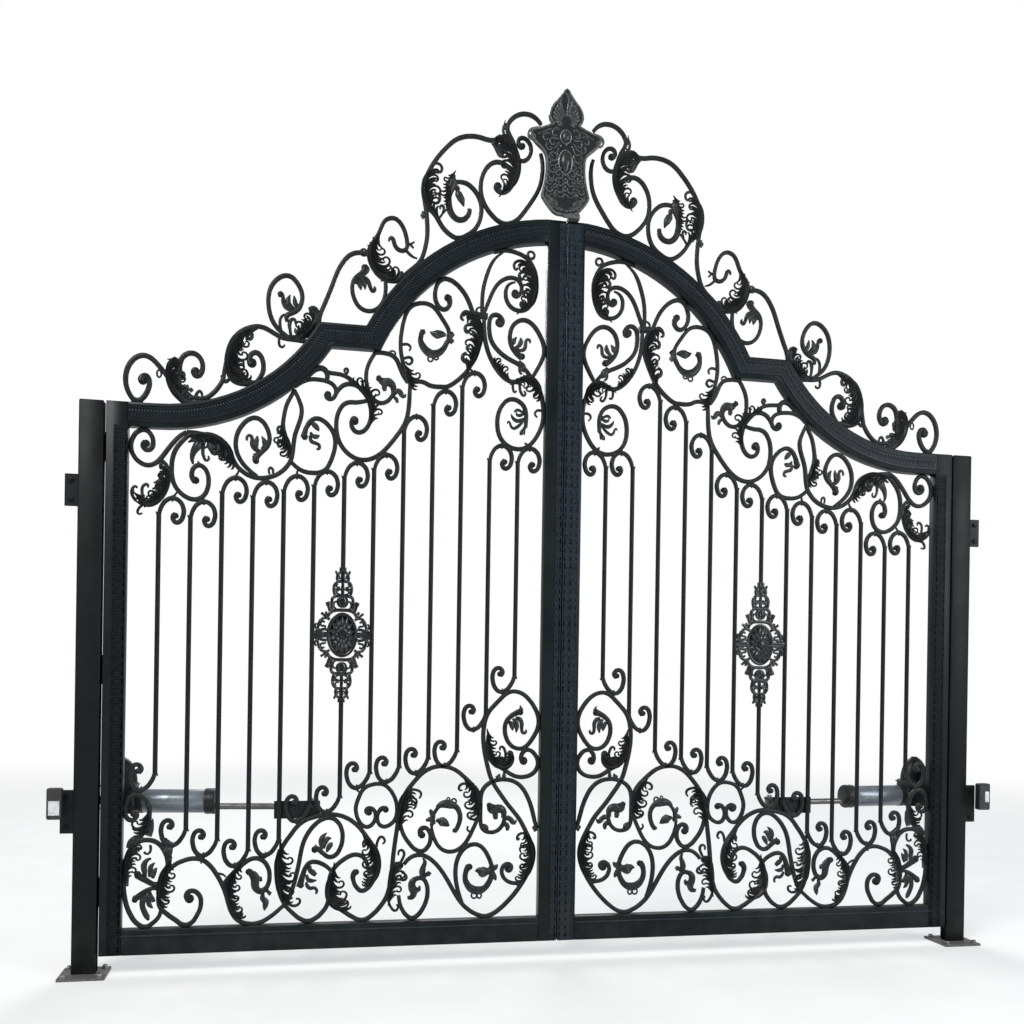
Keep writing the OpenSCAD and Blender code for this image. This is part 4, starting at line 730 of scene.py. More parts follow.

# ---------------------------------------------------------------- scrollwork
# The rows below were traced, each from end to end. The numbers of a point stand close
# together, as u,z or u,z,width. points_of() parts them.
# Bent strips: eye at the start, eye at the end, width, then the points.
LOWER_STRIPS = [
    (0, 9, 13, 1575,164, 1578,145, 1605,118, 1632,104, 1655,112, 1690,156, 1709,214, 1713,291,
     1708,350, 1692,405, 1662,433, 1620,437, 1590,427, 1565,397, 1553,355, 1553,330, 1562,300,
     1580,270, 1601,268, 1630,283, 1667,306),
    (0, 8, 11, 1582,246, 1600,253, 1625,248, 1650,230, 1675,210),
    (12, 0, 13, 1471,202, 1486,222, 1460,243, 1434,224, 1424,186, 1440,145, 1468,108, 1490,106,
     1520,130, 1555,153, 1577,175, 1584,204, 1580,242, 1570,280, 1550,317, 1526,342, 1494,354,
     1463,364, 1425,361, 1394,335, 1368,298, 1345,257, 1330,218, 1322,185, 1308,150, 1285,118,
     1250,105, 1200,106, 1163,128, 1112,170),
    (0, 9, 13, 1346,254, 1328,282, 1308,303, 1284,320, 1262,345, 1228,363, 1195,353, 1173,325,
     1166,290, 1172,255, 1187,232, 1205,228, 1220,242, 1228,270, 1232,295, 1245,312),
    (0, 0, 9, 1178,240, 1172,222, 1160,216),
    (0, 0, 9, 1190,226, 1188,200, 1182,165),
    (0, 8, 13, 1104,170, 1125,210, 1135,270, 1136,330, 1128,385, 1112,412, 1085,452, 1060,487,
     1035,506, 1000,519, 955,529, 908,530, 869,516, 831,492, 804,462, 785,433, 761,405, 746,368,
     739,333, 744,295, 761,258, 785,229, 804,222, 823,236, 837,262, 840,290, 826,302),
    (0, 9, 13, 1104,172, 1085,206, 1074,250, 1062,295, 1053,335, 1046,378, 1038,418, 1019,457,
     992,491, 961,513, 931,517, 904,502, 887,471, 883,433, 892,395, 911,368, 935,358, 961,376,
     981,399, 996,393),
    (9, 0, 13, 1048,250, 1035,294, 1027,321, 1011,339, 990,343, 961,333, 938,318, 924,302),
    (0, 0, 13, 1104,170, 1075,142, 1046,118, 1015,105, 985,118, 958,144, 940,168, 934,200, 935,240,
     932,270, 924,302, 900,333, 873,350, 854,363, 831,369, 808,363, 792,348, 782,325, 778,300),
    (0, 0, 13, 936,195, 905,160, 862,136, 838,118, 811,106, 785,107, 758,128, 731,155, 706,190,
     696,225, 688,268, 683,314, 679,368, 673,414, 668,452, 664,490, 660,530),
    (0, 9, 13, 636,325, 617,348, 590,361, 563,361, 540,352, 513,333, 486,302, 463,268, 440,229,
     417,188, 394,160, 371,136, 332,114, 301,106, 271,112, 232,138, 198,171, 171,202, 151,229,
     128,268, 109,306, 101,345, 101,379, 113,414, 128,445, 144,475, 163,510, 186,537, 209,562,
     240,608, 267,645, 282,672, 294,714, 304,752, 313,798, 317,845, 314,885, 305,929, 290,952,
     271,975, 248,998, 225,1021, 205,1030, 178,1031, 151,1021, 125,998, 104,968, 90,940, 84,910,
     88,875, 104,850, 120,823, 138,804, 160,796, 182,799, 205,814, 221,841, 227,879, 221,906,
     205,929, 182,941, 162,950),
    (0, 9, 13, 394,160, 405,191, 417,229, 423,271, 423,310, 415,345, 401,371, 378,394, 351,402,
     325,397, 305,378, 290,352, 278,325, 271,298, 275,268, 290,241, 309,218, 332,208, 355,218,
     375,241, 382,271, 379,298, 367,314),
    (0, 12, 12, 150,232, 167,240, 190,239, 213,252, 229,275, 230,298, 218,317, 199,319, 190,305,
     200,293),
    (9, 0, 13, 1682,545, 1669,541, 1674,522, 1690,516, 1706,525, 1713,548, 1712,575, 1700,600,
     1672,617, 1640,600, 1626,565, 1623,530, 1628,500, 1636,480, 1650,455, 1675,430),
    (0, 0, 12, 340,495, 355,464, 371,429, 390,402, 413,383, 440,374, 467,377, 490,391, 509,418,
     521,452, 525,483, 520,495),
    (0, 5, 10, 515,488, 520,515, 510,540, 488,563, 463,577, 440,574, 421,550, 409,521, 411,487,
     420,470, 432,456),
    (0, 10, 13, 660,530, 648,470, 640,450, 617,414, 590,384, 563,377, 540,394, 529,425, 532,456,
     555,477, 573,462, 567,440),
    (0, 8, 12, 323,500, 320,475, 308,457, 285,453, 263,452, 240,467, 225,495, 224,525, 240,548,
     265,552, 290,560),
    (0, 0, 9, 228,515, 205,513, 185,495),
    (0, 0, 9, 232,482, 215,478, 210,458),
    (0, 0, 13, 655,200, 650,165, 640,145, 622,118, 601,106, 580,114, 556,146, 543,175, 537,214,
     543,245, 558,268, 575,266, 592,262, 600,240, 595,215, 603,190, 618,188),
    (0, 0, 11, 558,262, 555,300, 551,315, 563,290),
    (0, 0, 9, 555,268, 538,282, 528,278),
    (9, 9, 12, 779,533, 793,542, 781,557, 764,551, 754,535, 753,515, 762,494, 781,479, 800,483,
     819,503, 831,535, 831,560, 828,578, 818,600, 811,622, 792,641, 769,648, 738,653, 719,647,
     700,633, 684,610, 673,587, 667,556, 668,525, 677,505, 688,493, 708,480, 727,481, 741,495,
     746,517, 741,537, 726,556, 709,551),
    (0, 0, 13, 660,530, 655,560, 643,598, 622,630, 603,655, 585,675, 571,691, 540,712, 509,722,
     478,721, 448,716, 421,702, 400,684, 378,664, 355,641, 338,614, 330,579, 328,541, 332,510,
     340,495),
    (0, 0, 13, 323,495, 322,560, 324,598, 313,629, 290,652, 255,666, 217,667, 178,657, 151,633,
     128,598, 109,552, 100,514, 93,487, 84,465),
    (11, 0, 13, 140,748, 145,735, 156,748, 155,766, 148,781, 132,791, 113,787, 98,768, 84,744,
     88,716, 110,688, 140,680, 178,680, 201,691, 225,710, 255,725, 278,744, 296,766, 308,790),
    (0, 0, 8, 1098,180, 1069,165, 1048,178, 1048,200, 1063,197),
    (0, 0, 8, 748,395, 742,425, 731,441, 714,430, 716,413, 724,410),
    (0, 0, 8, 785,436, 806,415, 800,398),
    (0, 0, 8, 700,195, 688,152, 669,137, 654,150, 662,165),
    (0, 0, 8, 682,305, 660,320, 640,350, 634,375, 648,385, 660,375, 658,362),
    (0, 0, 8, 690,262, 650,270, 635,258, 624,270, 628,288, 645,292),
    (0, 0, 8, 334,502, 352,505, 375,510, 378,530, 363,536),
    (0, 0, 8, 360,450, 382,462, 375,478),
    (0, 0, 8, 128,443, 151,448, 171,430, 163,414, 157,425),
    (0, 0, 8, 107,398, 136,395, 159,383, 151,364),
    (0, 0, 8, 1372,304, 1345,303, 1333,290),
    (0, 0, 8, 622,630, 590,628, 572,618, 570,603, 578,592),
    (0, 0, 8, 634,606, 605,581, 592,572, 592,555, 602,549),
    (0, 0, 8, 358,644, 385,652, 405,650, 416,635, 410,622, 400,625),
    (0, 0, 8, 240,718, 226,740, 222,765, 226,790, 236,805, 247,800, 246,788),
    (0, 0, 8, 228,712, 217,738, 200,745, 193,765, 198,783, 209,784, 213,772),
    (0, 0, 12, 1664,636, 1668,614),
    (0, 0, 18, 1550,414, 1562,388),
    (0, 0, 11, 1428,380, 1427,344),
    (0, 0, 11, 1190,378, 1188,346),
    (0, 0, 11, 840,642, 812,610)]

UPPER_STRIPS = [
    (10, 0, 13, 1655,1975, 1666,1966, 1664,1952, 1650,1945, 1635,1952, 1628,1975, 1638,2008,
     1659,2022, 1682,2016, 1703,1993, 1712,1955, 1700,1922, 1678,1898, 1651,1886, 1624,1894,
     1601,1914, 1578,1948, 1555,1979, 1524,2014, 1505,2024),
    (0, 10, 13, 1480,2024, 1501,2008, 1524,1983, 1544,1956, 1555,1925, 1559,1887, 1557,1848,
     1548,1814, 1528,1791, 1505,1771, 1478,1763, 1455,1768, 1436,1783, 1425,1806, 1421,1837,
     1425,1868, 1440,1890, 1459,1897, 1475,1888, 1484,1868, 1482,1845, 1470,1833),
    (0, 0, 13, 1505,2024, 1471,2024, 1432,2014, 1394,2003, 1363,1984, 1340,1957, 1332,1930,
     1317,1906, 1294,1883, 1263,1865, 1232,1859, 1201,1863, 1177,1870, 1150,1883, 1124,1910,
     1108,1937, 1102,1964, 1098,2005, 1094,2037, 1086,2060, 1078,2085, 1072,2112, 1067,2143,
     1080,2175, 1098,2215),
    (0, 10, 12, 1098,2228, 1067,2250, 1040,2262, 1005,2262, 971,2259, 948,2247, 936,2228, 938,2205,
     953,2187, 970,2194, 972,2208),
    (0, 0, 16, 1098,2230, 1067,2251, 1040,2285, 1009,2308, 986,2308, 968,2285, 972,2262),
    (0, 0, 12, 1096,2218, 1112,2185, 1124,2165, 1131,2139, 1136,2112, 1140,2082, 1138,2060,
     1130,2035, 1118,2005, 1103,1970),
    (9, 0, 13, 1246,1925, 1240,1946, 1219,1963, 1199,1984, 1191,2010, 1195,2035, 1203,2060,
     1220,2083, 1245,2096, 1272,2088, 1298,2060, 1313,2033, 1319,2002, 1319,1971, 1309,1941,
     1290,1910, 1267,1888, 1238,1866),
    (9, 0, 13, 1059,2031, 1055,2047, 1048,2074, 1032,2098, 1009,2109, 986,2101, 963,2082, 944,2058,
     936,2028, 937,1996, 944,1966, 956,1935, 970,1908, 992,1895, 1027,1892, 1058,1895, 1084,1909,
     1109,1932),
    (11, 0, 13, 854,2107, 862,2120, 871,2108, 872,2093, 866,2076, 851,2063, 829,2066, 810,2085,
     799,2112, 795,2143, 799,2174, 812,2205, 825,2228, 848,2247, 875,2254, 901,2251, 921,2235,
     932,2216, 938,2205),
    (0, 0, 13, 805,2195, 830,2188, 855,2180, 882,2182, 901,2174, 921,2147, 930,2116, 932,2082,
     928,2047, 917,2016, 898,1989, 875,1970, 851,1958, 821,1953, 790,1961, 763,1977, 740,1997,
     713,2028, 690,2062, 667,2095, 652,2128, 645,2170, 642,2208, 641,2245, 640,2275),
    (0, 0, 12, 985,2302, 959,2291, 936,2293, 913,2289, 886,2278, 863,2262, 840,2243, 818,2221),
    (0, 5, 12, 782,2388, 801,2355, 813,2324, 817,2289, 813,2254, 801,2220, 782,2197, 759,2187,
     736,2192, 717,2211, 707,2235, 705,2258, 717,2276, 740,2282, 759,2275, 771,2290),
    (0, 0, 9, 706,2240, 680,2240, 665,2222),
    (0, 0, 9, 712,2222, 705,2215, 692,2195),
    (0, 0, 13, 785,2386, 767,2389, 740,2388, 713,2381, 694,2366, 682,2331, 667,2301, 651,2278),
    (0, 10, 13, 640,2275, 610,2285, 582,2284, 563,2270, 540,2268, 513,2272, 490,2268, 478,2280,
     455,2291, 432,2314, 417,2330, 405,2345, 394,2364, 382,2391, 367,2426, 355,2457, 351,2488,
     355,2518, 371,2545, 390,2587, 401,2618, 417,2649, 440,2677, 463,2697, 486,2708, 509,2708,
     528,2698, 542,2664, 544,2634, 536,2607, 521,2589, 505,2585, 488,2595, 482,2618, 490,2638),
    (0, 5, 12, 648,2275, 660,2320, 672,2365, 680,2403, 680,2440, 678,2475, 669,2525, 656,2565,
     638,2586, 617,2598, 598,2602, 571,2601, 551,2593, 528,2568, 513,2545, 498,2522, 486,2503,
     484,2470, 498,2438, 517,2414, 544,2407, 567,2414, 586,2434, 600,2453, 598,2476, 590,2491),
    (0, 0, 13, 340,2590, 340,2541, 338,2503, 332,2464, 321,2426, 305,2391, 286,2361, 263,2334,
     240,2318, 217,2311, 198,2313, 178,2328, 155,2334, 132,2330, 113,2307, 98,2272, 88,2234,
     84,2195, 86,2157, 94,2130, 109,2095, 128,2068, 151,2045, 178,2036, 205,2036, 232,2045,
     255,2064, 271,2091, 278,2126, 276,2161, 271,2188, 255,2214, 236,2234, 213,2239, 186,2230,
     167,2211, 159,2188, 157,2157, 159,2125),
    (0, 0, 12, 348,2570, 350,2634, 346,2672, 340,2711, 328,2749, 313,2788, 294,2818, 263,2842),
    (0, 0, 12, 302,2838, 271,2848, 236,2850, 201,2843, 174,2830, 159,2822, 140,2795, 126,2764,
     122,2730, 126,2691, 136,2653, 151,2626, 171,2611, 198,2607, 225,2616, 244,2638, 251,2668,
     248,2695, 235,2715, 212,2723),
    (0, 11, 12, 345,2575, 335,2600, 321,2634, 305,2676, 286,2707, 259,2730, 232,2739, 209,2736,
     190,2722, 184,2695, 194,2672, 209,2664, 218,2676),
    (10, 0, 13, 284,2552, 272,2539, 261,2552, 267,2568, 282,2580, 298,2580, 313,2568, 319,2545,
     316,2511, 313,2484, 301,2461, 282,2438, 259,2418, 232,2403, 205,2391, 182,2379, 165,2365,
     150,2350, 136,2332),
    (9, 0, 13, 178,2414, 198,2426, 213,2441, 225,2461, 230,2484, 230,2511, 221,2538, 205,2557,
     182,2568, 163,2568, 140,2557, 121,2538, 105,2511, 90,2480, 84,2449, 92,2414, 109,2380,
     125,2349, 136,2330),
    (0, 0, 11, 1554,1766, 1534,1793),
    (0, 0, 11, 1438,1757, 1458,1771),
    (0, 0, 12, 1320,1856, 1304,1890),
    (0, 0, 12, 1213,1845, 1222,1864),
    (0, 0, 12, 1086,1876, 1079,1905),
    (0, 0, 12, 846,1941, 846,1958),
    (0, 0, 12, 491,2252, 491,2268),
    (0, 0, 12, 376,2334, 398,2354),
    (0, 0, 24, 326,2571, 376,2573),
    (0, 0, 8, 388,2582, 402,2580, 417,2584, 432,2572, 434,2557, 425,2547),
    (0, 0, 8, 369,2545, 394,2534, 413,2530, 417,2511, 402,2501),
    (0, 0, 8, 386,2380, 403,2382, 417,2380, 428,2395, 421,2415, 411,2417),
    (0, 0, 8, 214,2312, 217,2280, 205,2267, 199,2275),
    (0, 0, 8, 188,2322, 186,2295, 182,2270, 169,2253, 158,2268, 168,2277),
    (0, 0, 8, 88,2200, 115,2203, 121,2180, 110,2170),
    (0, 0, 8, 129,2768, 163,2768, 186,2768, 196,2753, 182,2736),
    (0, 0, 8, 165,2613, 184,2622, 186,2642, 176,2645, 172,2634),
    (0, 0, 8, 348,2574, 375,2584, 371,2599, 355,2609),
    (0, 0, 8, 681,2426, 670,2429, 650,2433, 638,2420, 645,2405),
    (0, 0, 8, 680,2370, 660,2373, 643,2383, 632,2370, 637,2355, 652,2350, 660,2362),
    (0, 0, 8, 902,2288, 886,2306, 895,2318, 908,2306, 898,2296),
    (0, 0, 11, 1601,1912, 1597,1905, 1575,1890, 1572,1860, 1580,1820, 1600,1780, 1640,1745,
     1670,1735, 1692,1748),
    (0, 0, 8, 1660,1738, 1685,1715, 1680,1695, 1665,1700),
    (0, 0, 8, 1690,1748, 1706,1772, 1698,1790)]

CREST_STRIPS = [
    (0, 12, 13, 112,3384, 127,3402, 147,3415, 173,3421, 204,3417, 232,3397, 248,3375, 256,3348,
     247,3330, 233,3306, 222,3275, 212,3236, 209,3200, 215,3158, 232,3123, 250,3095, 273,3086,
     292,3095, 298,3110),
    (0, 0, 13, 214,3158, 234,3178, 252,3197, 268,3205, 286,3209, 304,3207, 327,3195, 345,3168,
     357,3141, 362,3109, 361,3073, 351,3041, 332,3009, 310,2986, 286,2968, 262,2958, 232,2966,
     205,2982, 186,3008, 159,3045, 138,3079, 120,3112, 110,3145, 105,3180, 104,3210, 106,3240,
     113,3264),
    (0, 9, 12, 213,3232, 193,3223, 170,3234, 157,3256, 154,3285, 165,3307, 184,3321, 200,3318,
     209,3303, 204,3288, 190,3282),
    (0, 0, 13, 222,3266, 236,3291, 259,3309, 286,3310, 313,3291, 341,3298, 373,3304, 409,3302,
     445,3293, 473,3277, 500,3250, 533,3212, 554,3181, 573,3146, 588,3111, 594,3085, 596,3046,
     592,3019, 586,2992, 581,2931, 579,2892, 581,2865, 586,2835, 592,2808, 602,2781, 613,2762,
     631,2744, 650,2728, 673,2706, 690,2690),
    (0, 0, 13, 580,2990, 561,2977, 546,2963, 534,2944, 521,2923, 504,2906, 485,2892, 461,2880,
     438,2884, 415,2899, 396,2911, 381,2927, 369,2950, 363,2969, 359,2992, 359,3015, 361,3034,
     371,3058, 383,3077, 400,3094, 415,3104, 429,3109, 450,3111, 474,3108),
    (0, 0, 15, 474,3136, 486,3110, 492,3080, 492,3046, 492,3023, 488,3000, 481,2981, 469,2965,
     454,2957, 438,2957, 423,2965, 413,2977, 408,2992, 408,3004),
    (0, 0, 8, 534,2950, 515,2981, 490,3004),
    (0, 0, 8, 517,2978, 511,3000, 521,3007, 530,3002, 528,2992),
    (0, 0, 12, 492,3092, 466,3088, 452,3064, 438,3034),
    (0, 0, 13, 1006,2480, 1003,2514, 998,2534, 988,2557, 977,2588, 965,2618, 954,2649, 942,2684,
     931,2711, 915,2738, 900,2759, 883,2773, 865,2781, 846,2783, 827,2782, 806,2776),
    (0, 0, 12, 808,2788, 804,2818, 790,2842, 777,2861, 769,2884, 758,2911, 746,2925, 731,2933,
     715,2935, 700,2929, 685,2913, 673,2892, 667,2873, 661,2846, 660,2827, 666,2813, 681,2807,
     696,2811, 708,2823, 713,2835, 716,2848, 724,2856, 733,2851, 734,2840),
    (0, 0, 16, 806,2790, 805,2761, 789,2726, 765,2699, 742,2688, 715,2684, 692,2690, 683,2706,
     684,2722),
    (0, 0, 8, 662,2838, 646,2836, 631,2848),
    (0, 0, 8, 648,2836, 640,2828, 634,2822),
    (0, 0, 9, 664,2810, 646,2792, 631,2785, 618,2782),
    (0, 9, 12, 746,2686, 745,2668, 744,2649, 746,2626, 752,2598, 765,2578, 781,2562, 800,2554,
     819,2553, 838,2559, 854,2572, 865,2589, 873,2611, 877,2630, 877,2653, 871,2672, 861,2686,
     846,2699, 833,2711, 826,2726),
    (0, 0, 10, 872,2668, 857,2664, 848,2652, 844,2638),
    (0, 0, 11, 866,2680, 845,2678, 832,2662, 826,2640),
    (0, 0, 10, 852,2692, 828,2686, 814,2668, 806,2645, 795,2636, 787,2644, 790,2654),
    (0, 0, 13, 1371,2246, 1367,2273, 1361,2300, 1355,2331, 1350,2358, 1340,2385, 1327,2408,
     1311,2427, 1292,2439, 1273,2447, 1254,2454, 1227,2455, 1204,2446, 1177,2432, 1154,2420,
     1131,2416, 1108,2415, 1085,2414, 1066,2410, 1050,2412),
    (0, 7, 18, 1110,2420, 1069,2426, 1045,2450, 1026,2478, 1013,2508, 1018,2532, 1030,2540,
     1038,2530),
    (0, 0, 13, 1120,2420, 1146,2436, 1165,2453, 1181,2472, 1192,2495, 1200,2522, 1203,2549,
     1203,2576, 1198,2603, 1188,2626, 1173,2645, 1154,2660, 1134,2665, 1115,2661, 1100,2647,
     1085,2626, 1075,2603, 1073,2580, 1077,2557, 1085,2541, 1096,2528, 1111,2518, 1127,2512,
     1134,2498, 1130,2484),
    (0, 6, 9, 1100,2524, 1115,2536, 1135,2541, 1144,2557, 1146,2576, 1150,2592, 1159,2594,
     1162,2586),
    (0, 0, 10, 1100,2532, 1119,2549, 1127,2572, 1120,2590),
    (0, 0, 10, 1084,2545, 1096,2557, 1106,2572, 1104,2588),
    (0, 0, 9, 1112,2420, 1119,2449, 1119,2480, 1111,2493, 1102,2493, 1100,2484),
    (0, 0, 9, 1152,2440, 1159,2470, 1155,2495, 1145,2510, 1130,2512),
    (0, 0, 8, 1276,2446, 1265,2427, 1267,2411, 1277,2405, 1284,2411),
    (0, 0, 8, 1158,2422, 1162,2399, 1156,2384, 1144,2381, 1138,2392),
    (12, 0, 14, 1677,2211, 1672,2227, 1659,2232, 1649,2222, 1646,2206, 1648,2188, 1656,2166,
     1667,2148, 1685,2134, 1702,2136, 1717,2155, 1729,2181, 1733,2208, 1732,2234, 1725,2261,
     1711,2284, 1692,2302, 1669,2309, 1646,2303, 1629,2290, 1613,2273, 1600,2259, 1588,2244,
     1577,2226),
    (0, 0, 12, 1712,2127, 1668,2127),
    (0, 0, 20, 1578,2240, 1573,2215, 1561,2192, 1546,2171, 1527,2152, 1504,2137, 1481,2133,
     1454,2138, 1438,2140),
    (0, 0, 9, 1572,2240, 1570,2284, 1557,2303, 1545,2305, 1532,2294),
    (0, 0, 13, 1510,2140, 1492,2162, 1473,2156, 1450,2156, 1431,2163, 1411,2179, 1394,2198,
     1381,2219, 1371,2240, 1368,2256),
    (0, 0, 8, 1472,2156, 1469,2181, 1459,2185, 1450,2177, 1449,2156),
    (0, 0, 11, 1378,2228, 1356,2232, 1346,2245, 1344,2262),
    (0, 12, 14, 1540,2170, 1536,2220, 1535,2262, 1533,2292, 1525,2311, 1511,2325, 1492,2331,
     1473,2327, 1459,2313, 1451,2296, 1449,2277, 1454,2257, 1465,2244, 1477,2246, 1482,2262),
    (0, 0, 18, 1356,2290, 1352,2272, 1343,2250, 1330,2238, 1310,2230, 1288,2229, 1262,2230,
     1246,2232),
    (0, 13, 14, 1250,2230, 1231,2254, 1221,2277, 1219,2300, 1223,2323, 1231,2342, 1246,2352,
     1261,2348, 1271,2334, 1273,2315, 1266,2304)]

# Cast leaves: width and side of the lobes, then the points of the spine.
LEAVES = [
    (-35, 1550,350, 1575,300, 1583,230, 1577,175),
    (-30, 1285,335, 1318,290, 1328,240, 1320,190, 1300,140, 1265,118),
    (-45, 1131,398, 1136,330, 1130,250, 1108,175),
    (40, 785,433, 761,405, 746,368, 739,333, 744,295, 761,258, 785,229),
    (-45, 924,304, 932,270, 935,235, 934,195, 905,160, 865,138),
    (35, 696,190, 688,268, 680,325, 655,345),
    (40, 660,490, 655,560, 643,598, 617,640),
    (40, 378,664, 355,641, 338,614, 330,579, 328,541, 332,510),
    (35, 128,445, 113,414, 101,379, 101,345, 109,306, 128,268, 150,240),
    (-30, 302,853, 298,806, 295,767, 270,731, 234,717, 209,724, 195,746, 191,767, 202,781),
    (30, 1712,291, 1707,350, 1692,405, 1662,433),
    (38, 1623,530, 1628,490, 1650,450),
    (40, 1480,2012, 1455,2015, 1412,2015, 1377,1998, 1351,1972, 1334,1937, 1312,1898),
    (33, 1138,2060, 1130,2030, 1118,2000, 1105,1955),
    (33, 799,2112, 795,2143, 799,2174, 812,2205, 848,2247, 890,2252),
    (-32, 660,2330, 645,2290, 640,2250),
    (-36, 398,2348, 379,2391, 360,2448, 355,2500, 362,2543, 383,2570, 414,2583),
    (33, 205,2312, 178,2328, 132,2330, 105,2295, 90,2240),
    (-38, 179,2606, 157,2622, 140,2643, 129,2674, 125,2709, 128,2743, 140,2774, 162,2800,
     192,2817),
    (-30, 1686,1763, 1660,1733, 1621,1739, 1590,1772, 1573,1815, 1571,1859, 1586,1893),
    (-34, 1098,2230, 1067,2251, 1040,2285, 1009,2304),
    (26, 240,2318, 263,2334, 286,2361, 305,2391),
    (-46, 259,3090, 237,3112, 216,3155, 209,3199, 216,3242, 237,3286, 268,3308, 302,3308,
     320,3290),
    (42, 550,2964, 581,2999, 594,3042, 594,3086, 581,3129, 563,3160),
    (-46, 787,2847, 804,2816, 809,2777, 796,2734, 765,2695, 722,2682, 691,2703),
    (-40, 1090,2420, 1069,2426, 1045,2450, 1026,2478, 1013,2508),
    (-46, 1277,2434, 1310,2422, 1335,2388, 1350,2342, 1354,2301, 1343,2259, 1314,2234, 1268,2230),
    (38, 1506,2130, 1539,2155, 1564,2192, 1577,2234, 1572,2280, 1552,2307, 1533,2297),
    (22, 474,3134, 490,3090, 492,3046, 486,2995)]

